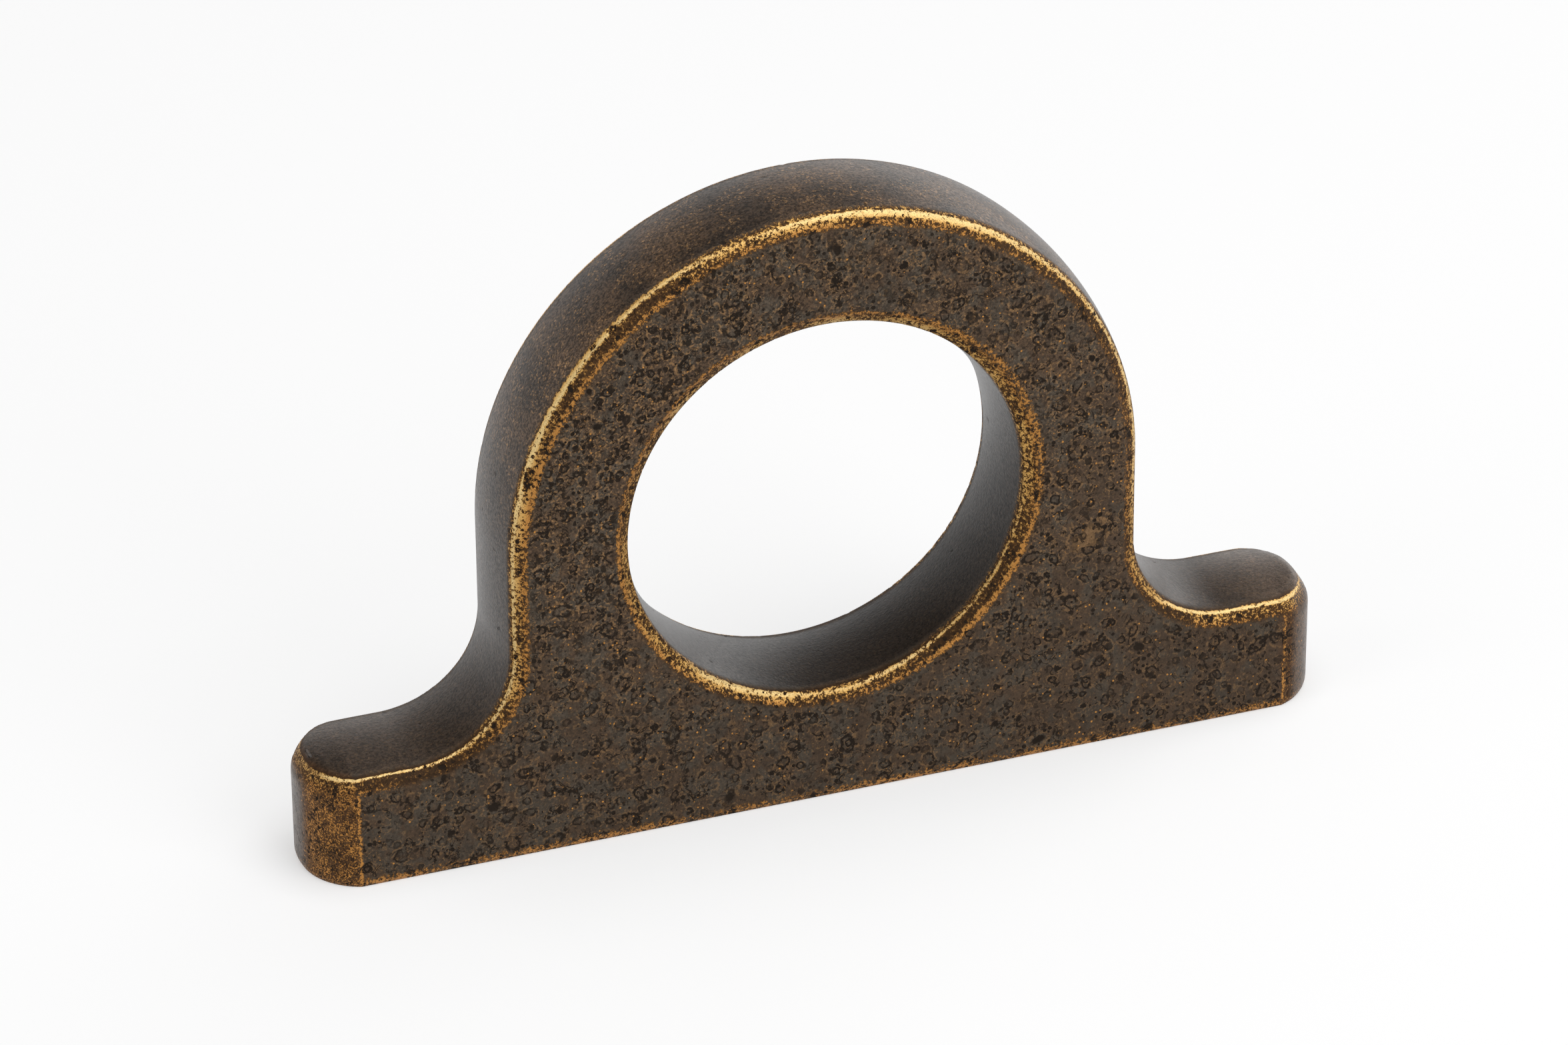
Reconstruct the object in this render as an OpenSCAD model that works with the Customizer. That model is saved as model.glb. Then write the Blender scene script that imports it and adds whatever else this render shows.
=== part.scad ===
// Cabinet handle: a finger ring that rises from a straight base bar with two feet, cast in one piece.
// Frame: X along the handle, Y through its thickness with the front at -Y, Z up away from the door.
// The origin is the middle of the flat base.

/* [Ring] */
// Diameter of the finger hole at its narrowest, in the middle of the thickness
hole_d = 30; // [24:0.5:34]
// Metal between the finger hole and the crown of the ring
ring_wall = 10; // [7:0.25:13]
// Thickness of the casting from the front face to the back face
thickness = 10; // [7:0.1:14]

/* [Feet] */
// Height of each foot, and of the bar under the finger hole
foot_h = 9.6; // [7:0.1:14]
// How far each foot stands out past the side of the ring
foot_reach = 15.3; // [13:0.1:24]
// Radius of the hollow between the side of the ring and the top of a foot
fillet_r = 7.5; // [3:0.1:8]
// Flat left in the middle of each rounded end
end_flat = 0.4; // [0.2:0.1:4]
// Angle of the crease where a rounded end meets the front and back faces
end_crease = 18; // [4:0.5:25]

/* [Edges] */
// How far the rim and the hole wall bulge between their edges and their middle
crown = 0.65; // [0.2:0.01:1]
// Width of the worn bevel across the front and back faces
bevel_w = 1.1; // [0.5:0.05:2]
// Depth of the worn bevel down the rim and the hole wall
bevel_d = 0.7; // [0.2:0.05:1.2]
// Bevel round the foot of the base
base_bevel = 0.25; // [0.1:0.05:0.6]

/* [Screw holes] */
// Distance between the two threaded holes
screw_pitch = 64; // [56:0.5:68]
// Tapping drill of the threaded holes
screw_drill_d = 3.3; // [2.5:0.1:4.2]
// Metal left between the end of a full thread and the top of the foot
screw_roof = 2.5; // [2:0.1:4]
// Countersink at the mouth of a threaded hole
screw_mouth = 0.4; // [0.2:0.05:0.8]

/* [Hidden] */
$fn = 144;
bronze = [0.28, 0.23, 0.17];
// Overlap that carries a cut past the face it opens in
past = 1;
drill_point = 118;

face_y = thickness / 2;
hole_r = hole_d / 2;
ring_r = hole_r + ring_wall;
half_len = ring_r + foot_reach;
fillet_x = ring_r + fillet_r;
fillet_z = foot_h + fillet_r;
// The ring stands on its straight sides, and they stand on the base block, face to face
side_h = hole_r - fillet_r;
ring_z = fillet_z + side_h;

// The crown is one arc across the thickness, highest in the middle and down by crown at each face
crown_r = (face_y * face_y + crown * crown) / (2 * crown);
function crown_drop(y) = crown_r - sqrt(crown_r * crown_r - y * y);
// Where the bevel starts on the rim, as a depth and as a drop below the crown
rim_y = face_y - bevel_d;
rim_drop = crown_drop(rim_y);
face_drop = rim_drop + bevel_w;

// The rounded end: two corner arcs with a flat between them
corner_y = end_flat / 2;
corner_r = (face_y - corner_y) / cos(end_crease);
corner_x = half_len - corner_r;

screw_depth = foot_h - screw_roof;
screw_point = screw_drill_d / 2 / tan(drill_point / 2);

// Triangle that the bevel takes off a rim edge; u is measured outward from the crown, and side is -1 or 1
module bevel_cut(side) {
    run_u = bevel_w / bevel_d * past;
    polygon([
        [-face_drop - run_u, side * (face_y + past)],
        [-rim_drop + run_u, side * (rim_y - past)],
        [-rim_drop + run_u, side * (face_y + past)]
    ]);
}

// Section through a rim, in u across it and y through the thickness, with the crown at u = 0
module rim_section(reach) {
    difference() {
        intersection() {
            translate([-reach, -face_y]) square([reach, thickness]);
            translate([-crown_r, 0]) circle(r = crown_r, $fn = 720);
        }
        bevel_cut(-1);
        bevel_cut(1);
    }
}

// Section of the space that a crowned and bevelled wall of radius r closes in, from its axis outward
module bore_section(r) {
    depth = face_y + past;
    difference() {
        translate([0, -depth]) square([r + crown + bevel_w, 2 * depth]);
        translate([r, 0]) mirror([1, 0]) difference() {
            translate([-crown_r, 0]) circle(r = crown_r, $fn = 720);
            bevel_cut(-1);
            bevel_cut(1);
        }
    }
}

// Turns a shape revolved about Z so that it is revolved about Y, with its angles measured from +X
module about_y() {
    rotate([90, 0, 0]) children();
}

// Upper half of the ring, solid to its axis
module ring_top() {
    translate([0, 0, ring_z]) about_y() rotate_extrude(angle = 180)
        translate([ring_r, 0]) rim_section(ring_r);
}

// Straight sides between the ring and the hollows, as one block with a crowned side each way
module ring_sides() {
    translate([0, 0, fillet_z]) linear_extrude(side_h) {
        translate([ring_r, 0]) rim_section(ring_r);
        mirror([1, 0]) translate([ring_r, 0]) rim_section(ring_r);
    }
}

// Base block under the ring, as deep as the hollows reach, which are turned out of its two upper corners
module base_block() {
    difference() {
        intersection() {
            rotate([90, 0, 90]) translate([0, 0, -half_len]) linear_extrude(2 * half_len)
                base_section(fillet_z + past);
            translate([-fillet_x, -face_y - past, 0]) cube([2 * fillet_x, 2 * (face_y + past), fillet_z]);
        }
        for (side = [-1, 1])
            translate([side * fillet_x, 0, fillet_z]) about_y() rotate_extrude() bore_section(fillet_r);
    }
}

// Section across the bar with its two lower edges bevelled, up to height h
module base_section(h) {
    polygon([
        [-face_y, base_bevel],
        [-face_y + base_bevel, 0],
        [face_y - base_bevel, 0],
        [face_y, base_bevel],
        [face_y, h],
        [-face_y, h]
    ]);
}

// Section across a foot: the base section under a crowned and bevelled top
module foot_section() {
    intersection() {
        base_section(foot_h);
        translate([0, foot_h]) rotate(90) rim_section(foot_h);
    }
}

// Section of a rounded end from the axis of its corner outward, with the bevel carried round the top edge
module end_section() {
    face_z = foot_h - face_drop;
    polygon([
        [0, 0],
        [corner_r - base_bevel, 0],
        [corner_r, base_bevel],
        [corner_r, face_z],
        [corner_r - bevel_d * (foot_h + past - face_z) / bevel_w, foot_h + past],
        [0, foot_h + past]
    ]);
}

// Room that a rounded end leaves, from the side of the base block to the tip of the foot
module end_envelope() {
    translate([0, -face_y - past, -past]) cube([corner_x, 2 * (face_y + past), foot_h + 2 * past]);
    translate([corner_x, corner_y, 0]) rotate([90, 0, 0]) linear_extrude(end_flat) end_section();
    for (side = [0, 1])
        mirror([0, side, 0]) translate([corner_x, corner_y, 0]) rotate_extrude(angle = 90) end_section();
}

// One foot beyond the base block
module foot() {
    intersection() {
        translate([fillet_x, 0, 0]) rotate([90, 0, 90]) linear_extrude(half_len - fillet_x) foot_section();
        end_envelope();
    }
}

// Blind threaded hole, from the base upward, with a drill point and a countersunk mouth
module screw_hole() {
    drill_r = screw_drill_d / 2;
    rotate_extrude() polygon([
        [0, -past],
        [drill_r + screw_mouth + past, -past],
        [drill_r, screw_mouth],
        [drill_r, screw_depth],
        [0, screw_depth + screw_point]
    ]);
}

module handle() {
    color(bronze) difference() {
        union() {
            ring_top();
            ring_sides();
            base_block();
            foot();
            mirror([1, 0, 0]) foot();
        }
        translate([0, 0, ring_z]) about_y() rotate_extrude() bore_section(hole_r);
        for (side = [-1, 1])
            translate([side * screw_pitch / 2, 0, 0]) screw_hole();
    }
}

handle();
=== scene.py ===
"""A cabinet handle: one brass casting, aged dark and worn to gold along its edges, on a pale table.

Lengths inside the classes are millimetres, as a maker would give them, and they become metres
only where an object is handed to Blender.
"""

import logging
import math
from abc import ABC, abstractmethod
from collections.abc import Callable, Sequence
from dataclasses import dataclass, field
from enum import Enum, IntEnum
from typing import ClassVar

import bpy
import numpy as np
from mathutils import Matrix, Vector, noise
from mathutils.geometry import delaunay_2d_cdt
from mathutils.kdtree import KDTree


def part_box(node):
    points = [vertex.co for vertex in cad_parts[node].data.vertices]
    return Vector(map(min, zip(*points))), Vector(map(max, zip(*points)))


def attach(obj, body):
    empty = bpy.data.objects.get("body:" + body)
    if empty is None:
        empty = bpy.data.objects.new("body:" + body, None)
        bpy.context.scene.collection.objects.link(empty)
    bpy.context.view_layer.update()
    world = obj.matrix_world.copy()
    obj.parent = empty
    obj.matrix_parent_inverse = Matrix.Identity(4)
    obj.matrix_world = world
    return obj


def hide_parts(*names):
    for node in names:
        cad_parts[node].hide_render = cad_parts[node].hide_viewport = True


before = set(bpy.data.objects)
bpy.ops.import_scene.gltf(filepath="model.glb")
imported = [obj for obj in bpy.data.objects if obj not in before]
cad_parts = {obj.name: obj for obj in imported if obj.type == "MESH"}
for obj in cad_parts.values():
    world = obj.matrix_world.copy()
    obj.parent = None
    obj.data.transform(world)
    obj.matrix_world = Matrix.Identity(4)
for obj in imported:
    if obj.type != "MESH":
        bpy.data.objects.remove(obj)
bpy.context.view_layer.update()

log = logging.getLogger("cabinet_handle")

MM = 0.001
NODE = "handle"
BODY = "root"
CAST_PLACE = "cast_place"
INSETS = "insets"
ON_MARK = "on_mark"
# The share that stands for a place on no mark
UNMARKED = 9.0
# A length in millimetres that is too small to matter
HAIR = 1e-6
WHITE = (1.0, 1.0, 1.0, 1.0)

Points = np.ndarray
Tone = tuple[float, float, float]
Span = tuple[float, float]


class Facet(IntEnum):
    """The facets that close in the casting; each gives a distance that is negative in the metal."""

    RIM = 0
    RIM_BEVEL = 1
    BORE = 2
    BORE_BEVEL = 3
    FACE = 4
    BASE = 5
    BASE_BEVEL = 6
    END = 7
    END_BEVEL = 8
    END_BASE_BEVEL = 9


@dataclass(frozen=True)
class HandleForm:
    """The casting's sizes in millimetres, and the distance from each of its facets.

    Attributes:
        half_len: half the length of the handle.
        face_y: distance from the middle of the thickness to each face.
        hole_d: width of the finger hole at its narrowest.
        ring_wall: thickness of the ring from the hole to the crown.
        foot_h: height of a foot.
        fillet_r: radius of the hollow between the ring and a foot.
        end_flat: width of the flat in the middle of a rounded end.
        end_crease_deg: the turn from a face into the rounded end at their crease, in degrees.
        crown: how far the crowned rim falls from its middle to the faces.
        bevel_w: width of the bevel, seen from the front.
        bevel_d: depth of the bevel below the face.
        base_bevel: width and depth of the small bevel round the base.
    """

    half_len: float
    face_y: float
    hole_d: float = 30.0
    ring_wall: float = 10.0
    foot_h: float = 9.6
    fillet_r: float = 7.5
    end_flat: float = 0.4
    end_crease_deg: float = 18.0
    crown: float = 0.65
    bevel_w: float = 1.1
    bevel_d: float = 0.7
    base_bevel: float = 0.25

    @property
    def hole_r(self) -> float:
        """Radius of the finger hole at its narrowest."""
        return self.hole_d / 2

    @property
    def ring_z(self) -> float:
        """Height of the ring's axis."""
        return self.foot_h + self.hole_r

    @property
    def ring_r(self) -> float:
        """Radius of the ring at its crown."""
        return self.hole_r + self.ring_wall

    @property
    def top_z(self) -> float:
        """Height of the ring's crown."""
        return self.ring_z + self.ring_r

    @property
    def fillet_x(self) -> float:
        """Distance from the middle to the axis of a hollow."""
        return self.ring_r + self.fillet_r

    @property
    def fillet_z(self) -> float:
        """Height of the axis of a hollow."""
        return self.foot_h + self.fillet_r

    @property
    def crown_r(self) -> float:
        """Radius of the arc that crowns the rim across its thickness."""
        return (self.face_y**2 + self.crown**2) / (2 * self.crown)

    @property
    def rim_drop(self) -> float:
        """How far the rim has fallen from its crown where the bevel starts."""
        return float(self.crown_drop(np.array(self.face_y - self.bevel_d)))

    @property
    def face_drop(self) -> float:
        """How far inside the crown line the flat face starts."""
        return self.rim_drop + self.bevel_w

    @property
    def corner_y(self) -> float:
        """Half the flat in the middle of a rounded end."""
        return self.end_flat / 2

    @property
    def corner_r(self) -> float:
        """Radius of a rounded end, seen from above."""
        return (self.face_y - self.corner_y) / math.cos(math.radians(self.end_crease_deg))

    @property
    def corner_x(self) -> float:
        """Distance from the middle to the axis of a rounded end."""
        return self.half_len - self.corner_r

    @property
    def crease_x(self) -> float:
        """Distance from the middle to the crease where a face turns into the rounded end."""
        return self.corner_x + self.corner_r * math.sin(math.radians(self.end_crease_deg))

    def crown_drop(self, y: Points) -> Points:
        """Fall of the crowned rim at y, measured from its middle."""
        return self.crown_r - np.sqrt(self.crown_r**2 - y**2)

    def outside_rim(self, x: Points, z: Points) -> Points:
        """Distance outward from the crown line of the ring, its sides, the hollows and the feet.

        Args:
            x: places along the handle.
            z: heights above the base.

        Returns:
            One distance for each place, negative in the metal.
        """
        ax = np.abs(x)
        arch = np.hypot(ax, z - self.ring_z) - self.ring_r
        side = ax - self.ring_r
        hollow = self.fillet_r - np.hypot(ax - self.fillet_x, z - self.fillet_z)
        foot = z - self.foot_h
        low = np.where(ax < self.fillet_x, hollow, foot)
        return np.where(z >= self.ring_z, arch, np.where(z >= self.fillet_z, side, low))

    def outside_bore(self, x: Points, z: Points) -> Points:
        """Distance into the finger hole from its narrowest line, negative in the metal."""
        return self.hole_r - np.hypot(x, z - self.ring_z)

    def outside_end(self, x: Points, y: Points) -> Points:
        """Distance outward from the rounded ends, as seen from above."""
        run = np.maximum(np.abs(x) - self.corner_x, 0.0)
        return np.hypot(run, np.maximum(np.abs(y) - self.corner_y, 0.0)) - self.corner_r

    def facets(self, p: Points) -> Points:
        """Distances from all the facets.

        Args:
            p: places, one row of x, y and z for each.

        Returns:
            One row for each Facet and one column for each place.
        """
        x, y, z = p[..., 0], np.abs(p[..., 1]), p[..., 2]
        rim, bore, end = self.outside_rim(x, z), self.outside_bore(x, z), self.outside_end(x, y)
        fall = self.crown_drop(np.minimum(y, self.face_y + 1))
        slope = math.hypot(self.bevel_w, self.bevel_d)
        past_face = y - self.face_y
        bevel_z = self.foot_h - self.face_drop

        def bevel(reach: Points) -> Points:
            """Distance from a bevel beside a rim at this reach."""
            return ((reach + self.face_drop) * self.bevel_d + past_face * self.bevel_w) / slope

        at_end = np.abs(x) > self.corner_x
        far = -self.half_len
        rows = [
            rim + fall,
            bevel(rim),
            bore + fall,
            bevel(bore),
            past_face,
            -z,
            (past_face + self.base_bevel - z) / math.sqrt(2),
            np.where(at_end, end, far),
            np.where(at_end, (end * self.bevel_w + (z - bevel_z) * self.bevel_d) / slope, far),
            np.where(at_end, (end + self.base_bevel - z) / math.sqrt(2), far),
        ]
        return np.stack(rows)

    def solid(self, p: Points) -> Points:
        """Distance from the whole casting, negative in the metal."""
        return self.facets(p).max(axis=0)


@dataclass
class Shell:
    """A mesh in the making, and the grid cell that holds each of its points.

    Attributes:
        points: the points.
        quads: the faces, each as the numbers of its four corners.
        low: the low corner of each point's cell.
        high: the high corner of that cell.
    """

    points: Points
    quads: np.ndarray
    low: Points
    high: Points


@dataclass(frozen=True)
class NetCast:
    """Casts a mesh of even four-sided faces round a form, with its points set on the form's own edges.

    Attributes:
        form: the form, in millimetres like all that follows.
        step: distance between grid lines along the handle and upward.
        edge_step: the finer distance through the thickness, near the faces.
        middle_step: the widest distance through the thickness, between them.
        edge_band: how deep below each face the finer distance reaches.
        margin: room between the form and the outermost grid lines.
        settle_passes: how often a point is moved toward its place.
        relax_passes: how often the spacing is evened out.
        on_facet: how near a point has to be to count as lying on a facet.
        nudge: the small step that slopes are measured over.
        damping: keeps two facets with nearly the same slope from throwing a point far away.
    """

    form: HandleForm
    step: float = 0.27
    edge_step: float = 0.2
    middle_step: float = 0.45
    edge_band: float = 1.0
    margin: float = 0.1
    settle_passes: int = 4
    relax_passes: int = 6
    on_facet: float = 1e-4
    nudge: float = 1e-4
    damping: float = 1e-6

    def axes(self) -> tuple[Points, Points, Points]:
        """Grid lines along the handle, through its thickness and upward.

        Returns:
            The three rows of lines.
        """
        form = self.form
        along = np.arange(-form.half_len - self.margin, form.half_len + self.margin + self.step, self.step)
        upward = np.arange(-self.step / 2, form.top_z + self.step, self.step)
        outer = form.face_y + self.margin
        fine = np.arange(outer, outer - self.edge_band - self.edge_step / 2, -self.edge_step)
        count = 2 * math.ceil(fine[-1] / self.middle_step)
        middle = np.linspace(-fine[-1], fine[-1], count + 1)[1:-1]
        through = np.concatenate([-fine, middle, fine[::-1]])
        return along, through, upward

    def cast(self) -> Shell:
        """Builds the mesh.

        Returns:
            The shell, with its points settled on the facets and on the creases between them.
        """
        axes = self.axes()
        grid = np.stack(np.meshgrid(*axes, indexing="ij"), axis=-1)
        field_at = self.form.solid(grid)
        shell = self.net(field_at, axes)
        self.settle(shell)
        self.snap(shell)
        self.relax(shell)
        return shell

    @staticmethod
    def net(field_at: Points, axes: Sequence[Points]) -> Shell:
        """Joins a point in each grid cell that the surface crosses to those in the cells beside it.

        Args:
            field_at: the form's distance at each grid point.
            axes: the grid lines.

        Returns:
            The shell before its points are settled.
        """
        inside = field_at < 0
        steps = [(i, j, k) for i in (0, 1) for j in (0, 1) for k in (0, 1)]
        size = [n - 1 for n in inside.shape]

        def corner(values: np.ndarray, step: tuple[int, ...]) -> np.ndarray:
            """The values at one corner of every cell."""
            return values[tuple(slice(s, s + n) for s, n in zip(step, size))]

        filled = sum(corner(inside, s).astype(np.uint8) for s in steps)
        cells = np.argwhere((filled > 0) & (filled < len(steps)))
        number = np.full(size, -1, np.int64)
        number[tuple(cells.T)] = np.arange(len(cells))
        total, count = np.zeros((len(cells), 3)), np.zeros(len(cells))
        for axis in range(3):
            for step in steps:
                if step[axis]:
                    continue
                a = cells + step
                b = a.copy()
                b[:, axis] += 1
                fa, fb = field_at[tuple(a.T)], field_at[tuple(b.T)]
                crossed = (fa < 0) != (fb < 0)
                share = np.where(crossed, fa / np.where(crossed, fa - fb, 1.0), 0.0)
                place = np.stack([axes[i][a[:, i]] for i in range(3)], axis=1)
                place[:, axis] += share * (axes[axis][b[:, axis]] - axes[axis][a[:, axis]])
                total += place * crossed[:, None]
                count += crossed
        quads = []
        for axis in range(3):
            u, v = (axis + 1) % 3, (axis + 2) % 3
            head, tail = [slice(None)] * 3, [slice(None)] * 3
            head[axis], tail[axis] = slice(1, None), slice(None, -1)
            change = inside[tuple(tail)].astype(np.int8) - inside[tuple(head)].astype(np.int8)
            at = np.argwhere(change != 0)
            ring = []
            for du, dv in ((1, 1), (0, 1), (0, 0), (1, 0)):
                cell = at.copy()
                cell[:, u] -= du
                cell[:, v] -= dv
                ring.append(number[tuple(cell.T)])
            faces = np.stack(ring, axis=1)
            outward = change[tuple(at.T)] > 0
            faces[~outward] = faces[~outward][:, ::-1]
            quads.append(faces)
        low = np.stack([axes[i][cells[:, i]] for i in range(3)], axis=1)
        high = np.stack([axes[i][cells[:, i] + 1] for i in range(3)], axis=1)
        return Shell(total / count[:, None], np.concatenate(quads), low, high)

    def slopes(self, p: Points, pick: Callable[[Points], Points]) -> Points:
        """Gradient at p of the distance that pick returns, by small steps each way.

        Args:
            p: the places.
            pick: gives the distance at each of a row of places.

        Returns:
            One gradient for each place.
        """
        found = []
        for axis in range(3):
            step = np.zeros(3)
            step[axis] = self.nudge
            found.append((pick(p + step) - pick(p - step)) / (2 * self.nudge))
        return np.stack(found, axis=-1)

    def settle(self, shell: Shell) -> None:
        """Moves each point straight onto the surface.

        Args:
            shell: the mesh, whose points are moved.
        """
        for _ in range(self.settle_passes):
            grade = self.slopes(shell.points, self.form.solid)
            off = self.form.solid(shell.points)
            shell.points -= grade * (off / (grade**2).sum(axis=1))[:, None]

    def land(self, places: Points, order: np.ndarray) -> Points:
        """Moves each place onto all the facets named for it.

        Args:
            places: where the points are.
            order: the facets that each point has to lie on, one row for each facet of a point.

        Returns:
            The moved places.
        """
        places, columns = places.copy(), np.arange(len(places))
        for _ in range(self.settle_passes):
            off = self.form.facets(places)[order, columns]
            grades = [
                self.slopes(places, lambda q, row=row: self.form.facets(q)[row, columns]) for row in order
            ]
            grade = np.stack(grades, axis=1)
            square = grade @ grade.transpose(0, 2, 1) + np.eye(len(order)) * self.damping
            places -= np.einsum("nij,ni->nj", grade, np.linalg.solve(square, off.T[..., None])[..., 0])
        return places

    def snap(self, shell: Shell) -> None:
        """Moves a point whose own cell holds a crease or a corner onto it, so that edges run clean.

        Args:
            shell: the mesh, whose points are moved.
        """
        for meeting in (2, 3):
            order = np.argsort(-self.form.facets(shell.points), axis=0)[:meeting]
            place = self.land(shell.points, order)
            held = ((place > shell.low) & (place < shell.high)).all(axis=1)
            held &= np.abs(self.form.solid(place)) < self.on_facet
            shell.points[held] = place[held]

    def relax(self, shell: Shell) -> None:
        """Evens out the spacing: points slide on their own facet, and crease points along their crease.

        Args:
            shell: the mesh, whose points are moved.
        """
        pairs = np.concatenate([shell.quads[:, [i, (i + 1) % 4]] for i in range(4)])
        start, end = np.unique(np.sort(pairs, axis=1), axis=0).T
        facets = self.form.facets(shell.points)
        meeting = (facets > -self.on_facet).sum(axis=0)
        ranked = np.argsort(-facets, axis=0)
        creased = meeting > 1
        for _ in range(self.relax_passes):
            total, count = np.zeros_like(shell.points), np.zeros(len(shell.points))
            for a, b in ((start, end), (end, start)):
                pulls = ~creased[a] | creased[b]
                np.add.at(total, a[pulls], shell.points[b[pulls]])
                np.add.at(count, a[pulls], 1)
            middle = total / np.maximum(count, 1)[:, None]
            moved = (shell.points + middle) / 2
            for rows, who in ((1, meeting == 1), (2, (meeting == 2) & (count > 1))):
                place = self.land(moved[who], ranked[:rows, who])
                good = np.abs(self.form.solid(place)) < self.on_facet
                shell.points[np.flatnonzero(who)[good]] = place[good]


class MarkShape(IntEnum):
    """What a mark looks like; a flake is a groove round brass that has lost its patina."""

    DISH = 0
    GROOVE = 1
    FLAKE = 2


@dataclass(frozen=True)
class Mark:
    """One casting pit or dent: an oval on the surface.

    Attributes:
        place: its middle.
        normal: the surface's normal there.
        along: the heading of its longer axis.
        half_long: half its length.
        half_wide: half its width.
        depth: its depth in the middle, if it is a dish.
        shape: what it looks like.
        groove_loss: the share of the depth that a groove or flake lacks.
        wall_power: how steeply its wall falls from the edge.
        facing: how squarely a surface has to face the mark's way to take it, as a cosine.
    """

    place: Points
    normal: Points
    along: Points
    half_long: float
    half_wide: float
    depth: float
    shape: MarkShape
    groove_loss: ClassVar[float] = 0.6
    wall_power: ClassVar[float] = 1.5
    facing: ClassVar[float] = 0.2

    @property
    def spans(self) -> Points:
        """Rows that turn an offset in millimetres into shares of the oval's two half widths."""
        across = np.cross(self.normal, self.along)
        return np.stack([self.along / self.half_long, across / self.half_wide])

    def shares(self, p: Points) -> Points:
        """Places on the oval, where 1 is its edge."""
        return (p - self.place) @ self.spans.T

    def sink(self, p: Points) -> Points:
        """How deep the mark goes at each place, in millimetres.

        Args:
            p: the places.

        Returns:
            One depth for each place.
        """
        r = np.hypot(*self.shares(p).T)
        loss = 0.0 if self.shape is MarkShape.DISH else self.groove_loss
        return self.depth * (1 - loss) * np.clip(1 - r**2, 0, 1) ** self.wall_power

    def near(self, tree: KDTree, normals: Points, reach: float) -> np.ndarray:
        """The tree's places within this share of the mark's half length that face its way, by number."""
        found = np.array([i for _, i, _ in tree.find_range(self.place, self.half_long * reach)])
        return found[normals[found] @ self.normal > self.facing]


class Region(Enum):
    """The regions of the casting that marks lie on, each with its facets."""

    FACE = (Facet.FACE,)
    BEVEL = (Facet.RIM_BEVEL, Facet.BORE_BEVEL, Facet.END_BEVEL)
    RIM = (Facet.RIM, Facet.BORE, Facet.END)

    def holds(self, facets: Points) -> np.ndarray:
        """Which points lie on this region, by their distances from the facets."""
        return np.isin(facets.argmax(axis=0), self.value)


@dataclass(frozen=True)
class MarkKind:
    """How many marks of one kind lie on one region, and how large they are.

    Attributes:
        region: where they lie.
        count: how many there are.
        half_size: least and greatest half width.
        longest: the greatest length, as a share of the width.
        depth: least and greatest depth.
        grooved: the share of them that are grooves, where the others are dishes.
        apart: the least distance between two of them.
    """

    region: Region
    count: int
    half_size: Span
    longest: float
    depth: Span
    grooved: float
    apart: float


@dataclass(frozen=True)
class PlacedMark:
    """A mark at a known place, in millimetres.

    Attributes:
        near: the place that it is nearest to.
        heading: which way its longer axis runs, in degrees up from the length of the handle.
        half_long: half its length.
        half_wide: half its width.
        depth: its depth in the middle, if it is a dish.
        shape: what it looks like.
    """

    near: tuple[float, float, float]
    heading: float
    half_long: float
    half_wide: float
    depth: float
    shape: MarkShape = MarkShape.DISH


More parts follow.
